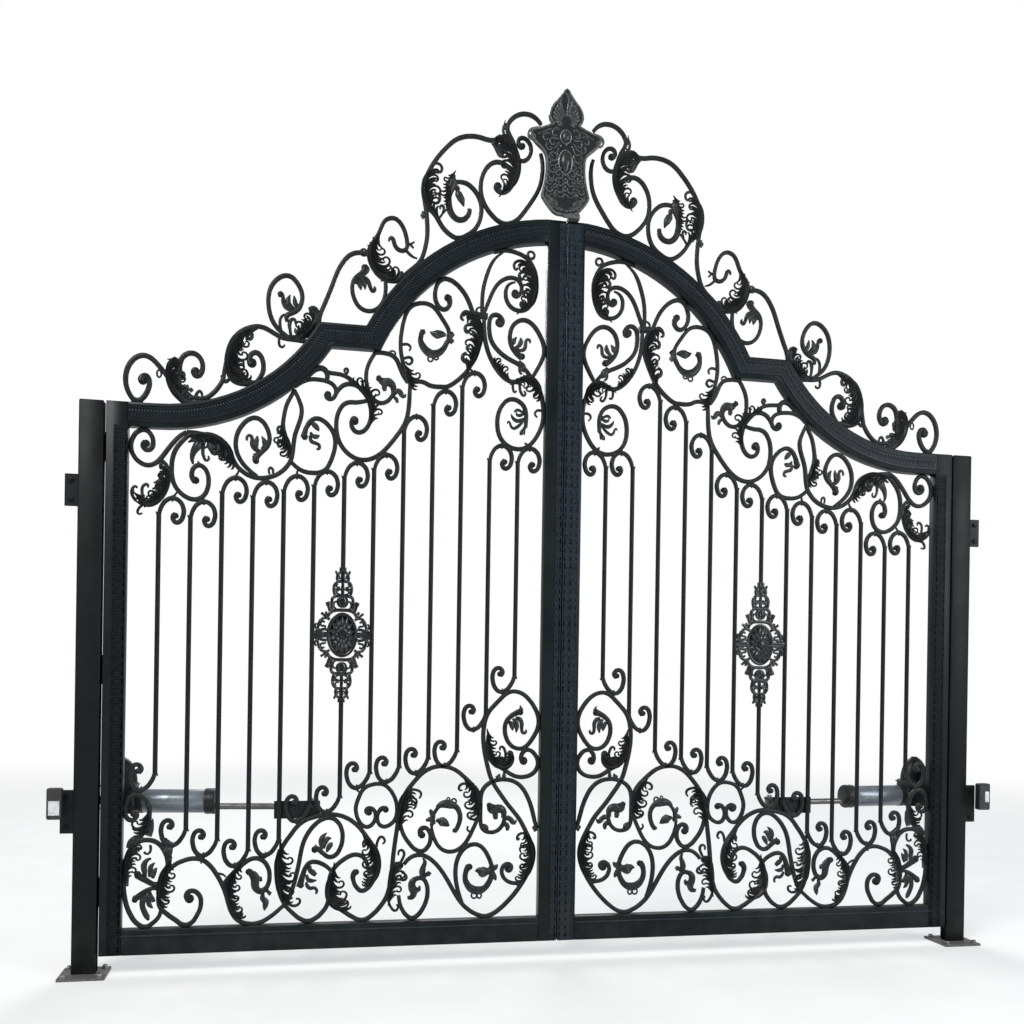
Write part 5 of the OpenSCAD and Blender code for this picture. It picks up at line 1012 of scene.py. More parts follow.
# Buds, sprays, crescents and curls, with a width at each point.
SPRIGS = [
    # lower panel
    (504,552,12, 493,563,20, 470,569,30, 447,566,30, 426,557,20, 412,536,15, 408,510,15,
     415,482,14, 427,465,9, 436,453,3),
    (514,510,8, 522,526,16, 530,543,11, 532,548,3),
    (514,506,10, 530,507,20, 546,503,9, 550,502,3),
    (514,500,8, 523,490,16, 531,481,4),
    (508,503,8, 497,501,18, 485,498,34, 470,491,28, 460,484,15, 451,479,3),
    (366,315,3, 378,297,13, 384,268,18, 374,238,22, 355,219,28, 328,212,30, 301,222,22, 284,242,16,
     275,262,18),
    (286,306,8, 270,302,24, 256,308,16, 247,318,3),
    (284,296,8, 272,280,24, 260,264,18, 254,252,4),
    (343,292,3, 329,294,22, 311,288,40, 294,290,28, 276,296,14),
    (229,508,12, 226,532,22, 240,546,30, 260,546,32, 276,541,26, 288,546,12, 294,564,3),
    (262,535,18, 261,518,17, 259,504,12),
    (224,502,9, 210,508,18, 197,503,18, 188,492,16, 180,489,12, 172,502,3),
    (209,510,8, 205,520,4),
    (227,487,7, 215,484,13, 209,471,15, 211,456,8),
    (316,486,4, 308,477,18, 298,469,18, 290,460,4),
    (574,266,12, 590,264,18, 602,248,24, 599,226,28, 594,206,24, 604,190,18, 620,187,3),
    (592,228,10, 578,221,17, 571,230,10, 572,238,3),
    (558,349,5, 550,333,12, 556,314,18, 563,294,18, 562,270,8),
    (547,272,7, 543,285,8, 534,290,8, 529,281,13),
    # small cross bosses where strips meet the stile
    (104,471,6, 92,465,20, 82,466,16),
    (94,450,6, 92,466,14, 94,482,6),
    # ring with three fingers
    (962,392,6, 968,420,15, 962,440,15, 945,458,3),
    (956,394,6, 953,416,15, 941,434,15, 927,435,4),
    (945,380,6, 938,397,15, 928,412,15, 922,418,4),
    (1001,392,14, 985,397,12, 968,381,11, 950,366,11),
    (985,398,8, 989,413,3),
    # spray below it
    (1008,328,8, 1010,312,14, 998,300,20, 986,289,12),
    (1021,292,7, 1016,272,13, 1002,267,13, 983,269,4),
    (1024,262,7, 1018,246,12, 1006,237,11, 992,239,10, 982,230,9, 984,214,7),
    (1041,276,10, 1046,254,14, 1062,247,4),
    (1046,254,10, 1040,240,3),
    # sprays of the hinge corner
    (1634,296,8, 1638,320,16, 1640,342,17, 1630,360,12, 1614,368,6),
    (1620,296,7, 1617,318,13, 1614,336,14, 1600,351,4),
    (1606,290,8, 1606,306,20, 1600,320,14, 1592,331,4),
    (1672,302,12, 1658,303,12, 1636,284,12, 1608,270,12),
    (1661,304,8, 1660,319,3),
    (1636,236,8, 1641,212,20, 1644,186,18, 1634,158,16, 1626,142,16, 1620,128,6),
    (1628,230,8, 1624,206,12, 1617,187,14, 1605,175,4),
    (1617,240,8, 1615,222,18, 1606,207,20, 1596,202,4),
    (1679,219,12, 1662,214,12, 1640,232,12, 1610,252,12),
    (1662,214,8, 1668,198,3),
    (1640,394,9, 1634,386,6, 1622,388,7, 1616,402,8, 1618,420,8),
    (1640,436,12, 1664,446,24, 1690,432,20, 1704,410,6),
    (1626,455,22, 1617,480,20, 1612,505,10, 1609,523,2),
    (1562,424,10, 1554,404,34, 1550,384,26, 1546,366,8),
    (1564,446,8, 1558,430,22, 1540,420,14),
    (1243,310,4, 1230,302,20, 1220,286,26, 1222,262,28, 1216,240,24, 1198,232,16, 1178,246,11),
    (1212,288,8, 1204,280,16, 1196,270,6),
    (1190,222,8, 1192,204,18, 1180,188,22, 1182,168,14, 1184,153,3),
    (1176,236,8, 1166,222,11, 1160,218,12),
    (1718,366,14, 1712,330,26, 1706,296,20, 1702,262,10),
    # inner ring over the lower panel
    (164,976,3, 160,952,16, 178,942,15, 198,931,13, 216,914,12),
    (214,907,8, 202,900,18, 196,886,18, 194,870,4),
    (194,920,8, 181,905,18, 177,884,18, 179,862,4),
    (182,924,8, 165,918,14, 156,900,13, 156,878,11, 150,861,10, 139,863,9, 137,875,6),
    (303,768,8, 282,748,13, 256,735,15, 230,732,13, 206,742,11, 195,760,8),
    (300,778,8, 280,760,13, 256,750,15, 236,752,12, 222,758,6),
    (262,676,8, 250,680,14, 246,692,4),
    (228,668,12, 227,686,12, 228,702,4),
    # upper panel, ring by the meeting stile
    (183,2412,4, 192,2424,12, 206,2432,12, 222,2450,12),
    (224,2458,8, 217,2477,22, 203,2497,4),
    (207,2452,8, 191,2464,14, 184,2480,15, 185,2496,4),
    (218,2452,7, 200,2446,10, 182,2443,11, 168,2452,12, 164,2472,11, 160,2488,9, 148,2489,9,
     145,2476,6),
    (190,2400,8, 184,2386,26, 174,2370,28, 164,2356,10),
    (190,2374,6, 188,2356,8, 178,2344,8),
    (584,2497,3, 597,2474,14, 599,2444,19, 584,2418,24, 557,2401,30, 530,2405,26, 505,2427,16,
     491,2456,14),
    (494,2476,10, 480,2481,24, 467,2492,14),
    (494,2470,10, 480,2464,24, 468,2452,14),
    (497,2482,10, 516,2484,26, 535,2482,32, 552,2485,14, 562,2490,3),
    # comma leaf under the step
    (708,2226,12, 708,2254,22, 724,2272,30, 744,2272,30, 758,2274,18, 768,2292,3),
    (744,2262,18, 743,2246,15, 741,2236,10),
    (706,2222,9, 694,2238,18, 684,2240,18, 674,2226,16, 664,2220,12, 655,2230,3),
    (702,2216,7, 694,2206,12, 690,2192,8),
    # spray in the ring beside the hollow
    (1058,2030,3, 1056,2040,14, 1050,2064,11, 1032,2094,12),
    (1031,2092,8, 1018,2082,17, 1006,2068,14, 1000,2058,3),
    (1034,2052,7, 1022,2037,13, 1008,2037,15, 997,2042,4),
    (1036,2040,7, 1029,2016,12, 1014,2010,11, 1000,2004,10, 998,1990,9, 1009,1986,7),
    # ring under the hollow
    (1278,2004,8, 1277,2020,8, 1266,2025,9, 1258,2012,11, 1258,1990,13, 1244,1970,12,
     1228,1966,11),
    (1238,1972,8, 1243,1992,15, 1240,2010,13, 1238,2026,4),
    (1222,1974,8, 1210,1984,15, 1210,2004,16, 1222,2024,4),
    (1198,1990,12, 1216,1967,14, 1238,1950,15, 1252,1944,14),
    (1250,1946,12, 1243,1914,3),
    # broad leaf under the hollow
    (1500,1984,4, 1478,1996,18, 1450,2004,26, 1416,2004,30, 1380,1996,28, 1352,1974,22,
     1332,1940,10),
    (1424,1996,12, 1412,1974,30, 1402,1950,22, 1397,1938,4),
    (1396,1994,12, 1382,1968,30, 1376,1944,20, 1371,1930,4),
    (1366,1984,12, 1354,1954,30, 1350,1926,22, 1340,1910,5),
    (1456,1998,12, 1464,1974,30, 1478,1950,22, 1484,1922,12, 1480,1900,6),
    (1438,1990,8, 1444,1962,11, 1440,1930,9, 1430,1917,8, 1421,1925,7, 1424,1936,5),
    (1461,1890,8, 1458,1902,10, 1462,1914,4),
    # fern leaf by the hinge stile
    (1586,1860,8, 1600,1850,13, 1612,1850,4),
    (1582,1842,8, 1602,1828,15, 1626,1820,4),
    (1590,1820,8, 1608,1806,15, 1630,1796,4),
    (1596,1800,8, 1614,1784,15, 1636,1774,4),
    (1606,1780,8, 1622,1766,15, 1640,1758,4),
    (1660,1756,8, 1668,1788,9, 1660,1810,9, 1648,1812,8, 1645,1800,6),
    (1690,1748,9, 1703,1768,9, 1704,1790,9, 1694,1803,8, 1684,1798,6),
    (1688,1762,10, 1660,1752,15, 1630,1752,15, 1604,1764,8),
    (1573,1860,9, 1576,1882,9, 1590,1898,9, 1602,1890,8, 1599,1874,7),
    # crest: joints of its strips, and curls
    (250,3374,6, 264,3367,9, 272,3348,9, 268,3326,9, 256,3312,9, 244,3296,9),
    (268,3370,4, 264,3386,3),
    (318,3288,12, 302,3278,24, 290,3262,28, 280,3242,26, 268,3230,8),
    (306,3302,10, 288,3302,20, 268,3288,18, 252,3266,12),
    (561,3166,8, 553,3174,9, 540,3176,9, 527,3168,9, 524,3153,9, 533,3141,8, 543,3148,7),
    (574,3040,7, 562,3019,9, 544,3014,9, 532,3026,9, 532,3046,8, 542,3054,7, 549,3044,6),
    (474,3138,2, 478,3112,34, 486,3086,34, 493,3056,22, 496,3020,19, 486,2984,22, 468,2960,18,
     446,2952,13, 426,2960,10, 413,2978,8, 408,3002,3),
    (480,3102,10, 462,3108,15, 440,3110,8),
    (470,3090,8, 458,3088,12, 450,3078,6),
    (461,3082,6, 454,3062,26, 442,3040,26, 431,3012,4),
    (608,2957,8, 597,2960,16, 586,2956,12),
    (600,2976,6, 596,2960,12, 600,2944,6),
    # crest ring over the step
    (824,2740,2, 819,2722,16, 830,2704,18, 851,2690,15, 870,2670,12),
    (869,2662,8, 855,2662,13, 846,2650,15, 843,2634,4),
    (864,2676,8, 842,2674,14, 830,2660,15, 826,2638,4),
    (842,2688,8, 822,2682,12, 810,2664,12, 804,2642,10, 796,2632,9, 786,2640,8, 787,2651,5),
    # crest ring left of the step
    (1133,2484,3, 1134,2506,14, 1110,2520,14, 1080,2542,12),
    (1106,2528,9, 1134,2538,13, 1146,2560,13, 1149,2584,10, 1158,2592,9, 1160,2580,7),
    (1114,2531,8, 1128,2554,16, 1127,2572,15, 1121,2590,3),
    (1088,2538,8, 1100,2558,14, 1102,2572,12, 1104,2586,3),
    (1056,2432,6, 1080,2436,12, 1096,2448,12, 1099,2462,3),
    (1046,2434,6, 1068,2444,12, 1084,2458,12, 1087,2474,3),
    (1036,2440,6, 1056,2453,12, 1071,2468,12, 1074,2486,3),
    (1026,2450,6, 1044,2465,12, 1056,2482,10, 1058,2502,5),
    (1022,2496,7, 1013,2514,8, 1018,2532,8, 1031,2538,8, 1038,2526,8, 1030,2515,6),
    (1122,2456,7, 1123,2480,8, 1110,2497,8, 1098,2491,7, 1100,2478,5),
    # feather at the hollow of the crest
    (1348,2284,8, 1328,2248,13, 1290,2230,14, 1252,2226,4),
    (1344,2304,8, 1320,2264,14, 1284,2243,14, 1250,2236,4),
    (1338,2318,8, 1316,2284,18, 1300,2264,16, 1284,2250,5),
    (1330,2402,7, 1322,2378,13, 1312,2352,6),
    (1340,2384,7, 1332,2354,13, 1318,2330,6),
    (1346,2360,7, 1338,2334,13, 1324,2308,6),
    (1286,2438,8, 1270,2432,9, 1263,2414,9, 1273,2401,8, 1283,2410,6),
    (1312,2392,8, 1302,2382,14, 1294,2376,17),
    (1323,2296,6, 1315,2311,7, 1300,2314,7, 1294,2304,6, 1302,2294,5),
    (1377,2254,8, 1373,2237,9, 1362,2228,9, 1351,2236,8, 1348,2254,7),
    # leaf of the crest by the hinge
    (1574,2232,10, 1557,2188,18, 1528,2154,19, 1500,2136,8),
    (1565,2248,9, 1549,2206,16, 1522,2168,17, 1490,2148,7),
    (1552,2250,8, 1536,2206,14, 1510,2176,15, 1476,2156,7),
    (1534,2256,6, 1521,2253,8, 1518,2238,8, 1529,2228,8, 1538,2236,6),
    (1520,2206,6, 1508,2200,12, 1502,2206,6),
    (1504,2190,6, 1494,2190,12, 1487,2182,12),
    (1476,2158,7, 1469,2179,8, 1456,2184,8, 1449,2168,7),
    # leaf beside the meeting stile, its curls
    (166,2808,9, 190,2814,9, 211,2806,9, 218,2788,9, 209,2775,8, 202,2784,6),
    (157,2764,9, 178,2768,9, 195,2757,9, 193,2740,8, 181,2736,7, 178,2744,5),
    (153,2698,8, 168,2690,9, 176,2676,9, 168,2665,8, 159,2672,6),
    (162,2622,8, 173,2639,9, 184,2643,8, 189,2630,7, 183,2619,5),
    (162,2826,7, 161,2844,8, 150,2855,8, 136,2850,8, 132,2836,7, 142,2824,6, 149,2829,5),
    # leaf beside the last one
    (398,2578,8, 414,2586,9, 431,2573,9, 434,2554,9, 423,2547,7),
    (398,2530,8, 413,2528,9, 419,2510,9, 409,2498,8, 401,2507,6),
    (400,2446,8, 410,2436,9, 401,2426,7),
    (403,2374,7, 422,2379,8, 430,2395,8, 420,2412,8, 410,2408,6),
    # leaf under the arch's foot
    (1142,2066,7, 1156,2066,8, 1161,2052,8, 1151,2037,7),
    (1146,2016,7, 1157,2010,8, 1158,1994,8, 1147,1985,7),
    (1176,1880,7, 1178,1898,8, 1188,1902,8, 1192,1888,7, 1189,1876,6),
    # spray in the ring over the last two bars
    (163,2160,6, 174,2146,8, 186,2133,10, 199,2123,10, 211,2119,9, 221,2128,8, 227,2143,7,
     233,2146,5, 236,2136,3),
    (160,2190,6, 172,2180,9, 186,2174,11, 197,2178,8, 199,2186,4),
    (161,2198,5, 175,2190,8, 188,2196,9, 200,2194,10, 208,2186,4),
    (161,2166,6, 178,2156,10, 195,2151,13, 208,2157,11, 217,2168,8, 220,2178,3),
    (160,2130,9, 168,2114,12, 176,2102,15, 182,2094,5),
    (163,2124,6, 165,2108,9, 163,2095,3),
    (150,2046,8, 156,2058,9, 163,2062,3),
    (236,2034,6, 247,2046,9, 257,2042,3)]

# The little spur on a bar's shoulder and the bud under each hook.
HOOK_NIBS = [[(2, 68, 7), (-6, 62, 7), (-11, 54, 3)], [(50, 14, 4), (50, 0, 10), (50, -12, 6)]]

# Small rings among the sprays: (u, z, half width, half height, thickness).
RINGS = [(458, 586, 6, 9, 4), (435, 579, 10, 11, 5), (345, 192, 11, 12, 5), (324, 192, 9, 12, 5),
         (559, 2380, 10, 11, 5), (536, 2387, 9, 9, 5), (263, 3338, 11, 12, 5),
         (265, 3260, 10, 10, 5), (834, 2786, 12, 13, 6), (1611, 2243, 8, 14, 5),
         (1531, 2241, 10, 13, 6), (713, 2390, 12, 10, 5), (146, 2842, 12, 14, 5)]

# The thirteen bars from the hinge side: where they stand, and how low and high their hooks go.
BAR_U = [1604.5 - 117.9 * i for i in range(13)]
BAR_RADIUS = 9.3
# How far above a hook's lowest point, and below its highest one, the straight bar begins.
ABOVE_FOOT, BELOW_HEAD = 66, 61
LOW_Z = [633, 416, 375, 333, 372, 506, 541, 637, 660, 695, 725, 873, 1030]
HIGH_Z = [1764, 1756, 1856, 1845, 1875, 1900, 1941, 1979, 2142, 2253, 2336, 2045, 2040]
# A hooked foot and a hooked head, from the bar's own line.
LOW_HOOK = [(0, 70), (2, 60), (14, 29), (37, 5), (60, 0), (79, 13), (91, 44), (91, 72), (82, 93),
            (66, 99), (53, 90), (52, 76), (62, 70)]
HOOK_EYE, HOOK_WIDTH = 8, 13
HIGH_HOOK = [(0, 65), (8, 34), (29, 8), (52, 0), (78, 10), (91, 38), (91, 65), (79, 89), (65, 95),
             (52, 82), (55, 68), (64, 64)]

square_bar = bar_section("square bar section", [
    (-7.4, -3.8), (-3.9, -7), (3.9, -7), (7.4, -3.8), (7.4, 3.8), (3.9, 7), (-3.9, 7),
    (-7.4, 3.8)])
blade = bar_section("blade section", [
    (-6, 0), (-4.6, 2.6), (0, 3.8), (4.6, 2.6), (6, 0), (4.6, -2.6), (0, -3.8), (-4.6, -2.6)])
leaf_rib = bar_section("leaf rib section", [
    (-6, 0), (-5.2, 2.6), (-1.6, 4.6), (0, 7.2), (1.6, 4.6), (5.2, 2.6), (6, 0)])


# The knob is drawn at one radius and grown from the radius that a row gives.
EYE_RADIUS, EYE_GROWTH = 10, 1.42
# How wide a strip starts or ends, as a share of its width.
AT_EYE, AT_FOOT, AT_START, AT_TIP, AT_THIN_TIP = 1.45, 0.85, 0.95, 0.45, 0.62


def scroll_eye():
    """The rolled end of a scroll: a thick oval knob with rounded rims."""
    eye = rod((0, -8.5, 0), (0, 8.5, 0), EYE_RADIUS, 20)
    edit(eye)
    choose(eye, is_end)
    bpy.ops.mesh.bevel(offset=0.0038, segments=3, affect="EDGES")
    choose(eye, is_end)
    bpy.ops.transform.resize(value=(1, 1.12, 1), orient_type="GLOBAL")
    let_go()
    return eye


def tapered(points, width, first, last):
    """Widths along a strip: swollen towards its eyes, and thinner where it runs out to a point."""
    ends = []
    for radius, plain in ((first, AT_START), (last, AT_THIN_TIP if width < 9 else AT_TIP)):
        ends.append(AT_EYE if radius else AT_FOOT if width > 12 else plain)
    count = len(points) - 1
    line = []
    for i, (u, z) in enumerate(fair(points)):
        share = width * (1.20 if width > 10 else 1.25)
        for far, end in ((i, ends[0]), (count - i, ends[1])):
            share *= end + (1 - end) * min(1.0, far / (1.9 if end > 1 else 2.4))
        line.append((u, z, share))
    return line


def eye_place(points, radius, width):
    """Where a scroll's knob sits: at the strip's end, moved towards the inside of the coil."""
    a, b, c = (Vector(p) for p in points)
    way = (c - b).normalized()
    inward = Vector((-way.y, way.x)) * (1 if (b - a).cross(c - b) > 0 else -1)
    return c + inward * (radius - width / 2) * 0.5 - way * radius * 0.2


def scrollwork(name, rows, node_name):
    """One leaf's strips and eyes as one piece for each side."""
    strips = [(first, last, width, points_of(line)) for first, last, width, *line in rows]
    runs = [tapered(points, width, first, last) for first, last, width, points in strips]
    body = bend(name, runs, square_bar, base=13.0, steps=4)
    eye = scroll_eye()
    eyes = []
    for first, last, width, points in strips:
        for radius, end in ((first, points[2::-1]), (last, points[-3:])):
            if radius:
                radius *= EYE_GROWTH
                place = eye_place(end, radius, width)
                eyes.append(copy_of(eye, in_plane(place.x, place.y, radius / EYE_RADIUS,
                                                  depth=MIDDLE)))
    discard(eye)
    both_sides(join(name, [body] + eyes), name, "{side}_leaf", node_name, wrought_black,
               50)


def hooks(line, heights, way):
    """The bars' hooked ends as rows of strips. way is 1 for their feet and -1 for their heads."""
    return [(0, HOOK_EYE, HOOK_WIDTH,
             *(n for a, b in line for n in (u + way * a, z + way * b)))
            for u, z in zip(BAR_U, heights)]


def bars():
    """The upright bars between their hooks. The middle one is broken by the rosette."""
    spans = [(u, low + ABOVE_FOOT, high - BELOW_HEAD)
             for u, low, high in zip(BAR_U, LOW_Z, HIGH_Z)]
    u, low, high = spans[ROSE_BAR]
    spans[ROSE_BAR:ROSE_BAR + 1] = [(u, low, ROSE_Z - ROSE_HALF), (u, ROSE_Z + ROSE_HALF, high)]
    whole = join("round_bars", [rod((u, MIDDLE, low), (u, MIDDLE, high), BAR_RADIUS, 16)
                                for u, low, high in spans])
    both_sides(whole, "round_bars", "{side}_leaf", "bars", bar_black)


scrollwork("lower_panel_scrolls", LOWER_STRIPS + hooks(LOW_HOOK, LOW_Z, 1), "lower_scrolls")
scrollwork("upper_panel_scrolls", UPPER_STRIPS + hooks(HIGH_HOOK, HIGH_Z, -1), "upper_scrolls")
scrollwork("crest_scroll_strips", CREST_STRIPS, "crest_scrolls")
bars()


# ---------------------------------------------------------------- leaves
# One lobe: (along the spine, out from it, thickness), in shares of the lobe's size. It runs
# beside the spine, leaves it slowly and ends in a point, or rolls up in a curl.
LOBE = ((-1.30, 0.02, 4), (-0.80, 0.10, 9), (-0.28, 0.22, 13), (0.18, 0.44, 15), (0.48, 0.72, 12),
        (0.56, 0.98, 7), (0.46, 1.14, 3))
CURL = ((-1.0, 0.02, 5), (-0.50, 0.08, 10), (0.06, 0.26, 13), (0.48, 0.56, 12), (0.62, 0.98, 10),
        (0.34, 1.34, 9), (-0.04, 1.28, 8), (-0.10, 0.98, 7), (0.14, 0.90, 7))


# The cast leaves lie in front of the strips' middle plane.
LEAVES_DEPTH = 19


def leaf_runs(width, spine):
    """The ribs of one acanthus leaf: a long rib on the spine, and lobes that part from it."""
    side = 1 if width > 0 else -1
    reach = abs(width)
    pitch = 7.5 + reach * 0.22
    line = walk(smooth_line(fair(spine, 1), 6), pitch, 2.0)
    last = len(line) - 1
    runs = [[(p.x, p.y, reach * 0.62 * min(1.0, 0.35 + i * 0.2, 0.2 + (last - i) * 0.3))
             for i, (p, *_) in enumerate(line)]]
    for i, (p, a, b, share) in enumerate(line):
        way = (b - a) / (b - a).length
        out = Vector((-way.y, way.x)) * side
        swell = math.sin(math.pi * min(1.0, 0.14 + share * 0.80))
        size = (reach + 4) * (0.46 + 0.60 * swell)
        shape = CURL if i % 4 == 2 and size > 20 else LOBE
        size *= (1.0, 0.86, 0.95)[i % 3]
        lobe = []
        for along, across, thick in shape:
            place = p + way * along * size * 0.86 + out * across * size
            lobe.append((place.x, place.y, (thick * 0.80 + 1.2) * (0.7 + 0.3 * size / 36)))
        runs.append(lobe)
    return runs


def leaves():
    """The cast acanthus leaves that lie on the strips."""
    runs = [run for width, *spine in LEAVES for run in leaf_runs(width, points_of(spine))]
    body = bend("acanthus", runs, leaf_rib, steps=2, depth=LEAVES_DEPTH)
    both_sides(body, "acanthus_foliage", "{side}_leaf", "acanthus_leaves", cast_black,
               55)


def sprigs():
    """The small forged leaves, buds, rings and curls that fill the scrollwork."""
    nibs = [[(u + side * a, z + side * b, width) for a, b, width in nib]
            for heights, side in ((LOW_Z, 1), (HIGH_Z, -1)) for u, z in zip(BAR_U, heights)
            for nib in HOOK_NIBS]
    runs = [[(u, z, width * (1.4 if width < 18 else 1.2)) for u, z, width in run]
            for run in [points_of(row, 3) for row in SPRIGS] + nibs]
    body = bend("sprigs", runs, blade)
    rings = bend("rings", [oval(*ring, 10) for ring in RINGS], blade, base=7.5, steps=2, ring=True)
    both_sides(join("sprigs", [body, rings]), "sprigs_and_buds", "{side}_leaf", None, cast_black,
               55)


leaves()
sprigs()


# ---------------------------------------------------------------- pressed bands of the frame
# Where the cover strips of the meeting stiles begin, and the middle line of the rail's band.
MEET_IN, BAND_DEPTH = 2.5, 41


def rail_line(depth):
    """The top rail's line at a depth below its upper edge, from the hinge to the meeting stile."""
    hollow, arch = HOLLOW_R + depth, ARCH_R - depth
    turn = math.acos((HOLLOW_C.y - STEP_Z + depth) / hollow)
    low = math.acos((STEP_Z - depth - ARCH_C.y) / arch)
    high = math.asin(MEETING_IN / arch)
    line = [Vector((STILE_IN, HOLLOW_C.y - hollow))]
    line += [HOLLOW_C + hollow * Vector((-math.sin(turn * i / 30), -math.cos(turn * i / 30)))
             for i in range(31)]
    line += [ARCH_C + arch * Vector((math.sin(low + (high - low) * i / 40),
                                     math.cos(low + (high - low) * i / 40))) for i in range(41)]
    return line


def gadroon():
    """One slanted lobe of the rail's running pattern."""
    let_go()
    bpy.ops.mesh.primitive_uv_sphere_add(segments=8, ring_count=6, radius=0.01)
    lobe = bpy.context.object
    edit(lobe)
    bpy.ops.mesh.select_all(action="SELECT")
    bpy.ops.transform.resize(value=(0.46, 0.34, 1.55))
    choose(lobe, lambda vertex: vertex.co.z > 0.004, "VERT")
    bpy.ops.transform.translate(value=(0.0045, 0, 0))
    choose(lobe, lambda vertex: vertex.co.z < -0.004, "VERT")
    bpy.ops.transform.translate(value=(-0.0045, 0, 0))
    cut_away(lobe, lambda vertex: vertex.co.y > 0.0005)
    let_go()
    return lobe


def bead(radius):
    """One round bead, open at the back where it lies on its ground."""
    let_go()
    bpy.ops.mesh.primitive_ico_sphere_add(subdivisions=1, radius=radius * MM)
    pearl = bpy.context.object
    edit(pearl)
    cut_away(pearl, lambda vertex: vertex.co.y > radius * MM * 0.6)
    let_go()
    return pearl


def strewn(piece, line, pitch, start, depth):
    """Copies of a piece every pitch millimetres along a line, turned with it."""
    return [copy_of(piece, in_plane(p.x, p.y, 1.0, math.atan2(b.y - a.y, b.x - a.x), depth))
            for p, a, b, share in walk(line, pitch, start)]


# One turn of the key pattern, in shares of its width and height.
KEY_TURN = ((0.0, 0.0), (0.0, 0.80), (1.0, 0.80), (1.0, 0.24), (0.34, 0.24), (0.34, 0.56),
            (0.68, 0.56), (0.68, 0.50), (0.46, 0.50), (0.46, 0.36), (1.0, 0.36), (1.0, 0.12),
            (0.0, 0.12))
KEY_HEIGHT = 34.0


def key_pattern(low, high, left, right):
    """The running key pattern of a stile, as one line of square turns."""
    width = right - left
    count = round((high - low) / KEY_HEIGHT)
    rise = (high - low) / count
    return [(left + x * width, low + (k + z) * rise, 1.0)
            for k in range(count) for x, z in KEY_TURN]


def bands(side, meeting, columns):
    """The rail's moulded band with its beads and lobes, and the stiles' key patterns.

    meeting is the width of the band on the meeting stile, and columns its rows of keys."""
    rail = [(p.x, p.y, 1.0) for p in rail_line(BAND_DEPTH)]
    moulded = bar_section("rail band section", [
        (-32, -1), (-32, 3), (-30.5, 4.8), (-28, 4.8), (-26.5, 2.4), (-24, 2.4), (-19, 2.4),
        (-17.5, 3.6), (-16, 3.6), (-15, 1.6), (15, 1.6), (16, 3.6), (17.5, 3.6), (19, 2.4),
        (24, 2.4), (26.5, 2.4), (28, 4.8), (30.5, 4.8), (32, 3), (32, -1)])
    pieces = [bend("rail band", [rail], moulded, base=1.0, depth=0, straight=True)]
    discard(moulded)
    lobe, pearl = gadroon(), bead(2.6)
    pieces += strewn(lobe, rail_line(BAND_DEPTH), 11.5, 10, -1.8)
    for depth in (19.5, 62.5):
        pieces += strewn(pearl, rail_line(depth), 8.0, 6, -2.6)
    discard(lobe, pearl)
    line = bar_section("key line section", [(-1.9, -1), (-1.4, 2.2), (1.4, 2.2), (1.9, -1)])
    hinge_pieces = []
    for left, right, top, count, found in ((STILE_IN, STILE_IN + 51, 2030, 1, hinge_pieces),
                                           (MEET_IN, MEET_IN + meeting, 2975, columns, pieces)):
        half = (right - left) / 2
        band = bar_section("stile band section", [
            (-half, -1), (-half, 3), (1.5 - half, 4.8), (3.5 - half, 4.8), (4.5 - half, 2.4),
            (half - 4.5, 2.4), (half - 3.5, 4.8), (half - 1.5, 4.8), (half, 3), (half, -1)])
        found.append(bend("stile band", [[(left + half, 3, 1), (left + half, top, 1)]],
                          band, base=1.0, depth=0, straight=True))
        discard(band)
        wide = (right - left - 12) / count
        for k in range(count):
            run = key_pattern(11, top - 8, left + 7.5 + k * wide, left + 4.5 + (k + 1) * wide)
            found.append(bend("key pattern", [run], line, base=1.0, depth=-2.4, straight=True))
    border = bar_section("border section", [(-3, -1), (-2.4, 4.8), (2.4, 4.8), (3, -1)])
    pieces.append(bend("bottom border", [[(MEETING_IN, BOTTOM_H - 23, 1),
                                          (STILE_IN, BOTTOM_H - 23, 1)]],
                       border, base=1.0, depth=0, straight=True))
    discard(line, border)
    for found, name, material in ((pieces, "pressed_bands", pressed_slate),
                                  (hinge_pieces, "hinge_stile_band", shaded_slate)):
        finish_piece(join(name, found), side, name, "{side}_leaf", "embossed_bands", material)


bands("right", 63.5, 2)
bands("left", 27.5, 1)


# ---------------------------------------------------------------- rosette
# Its openwork in one quarter, from its own middle: width, then the points.
ROSETTE = [
    (14, 52,4, 66,5, 84,6, 102,5, 112,1),
    (12, 60,20, 72,22, 86,18, 98,14, 106,8),
    (12, 110,6, 98,20, 93,40, 86,57, 73,66, 58,66, 49,60),
    (11, 60,66, 69,76, 77,82, 84,87),
    (10, 56,68, 61,80, 66,93),
    (14, 0,99, 20,99, 38,95, 50,86, 58,72),
    (12, 43,84, 50,98, 54,110, 57,121),
    (18, 54,116, 57,124, 60,131),
    (13, 41,98, 42,116, 42,132, 39,147, 28,154, 0,154),
    (11, 0,112, 12,117, 18,128, 17,141, 8,150),
    (18, 0,118, 6,130, 0,146),
    (12, 30,156, 34,172, 35,190, 30,204, 20,212, 0,214),
    (9, 0,182, 14,182, 32,182),
    (10, 0,152, 2,168, 2,192, 0,214),
    (12, 17,210, 22,222, 22,234, 17,245, 8,250, 0,250),
    (9, 18,236, 25,246, 28,256),
    (13, 0,212, 3,230, 0,250),
    (16, 0,246, 6,258, 6,270),
    (9, 63,30, 72,35, 82,36, 85,46, 77,53, 68,49),
    (8, 26,104, 33,112, 34,124, 28,133, 21,130),
    (8, 6,160, 16,163, 24,170, 22,178, 14,176),
    (8, 10,190, 20,190, 25,197, 20,204),
    (8, 96,16, 104,26, 106,38, 100,46),
    (8, 8,224, 15,229, 14,238)]
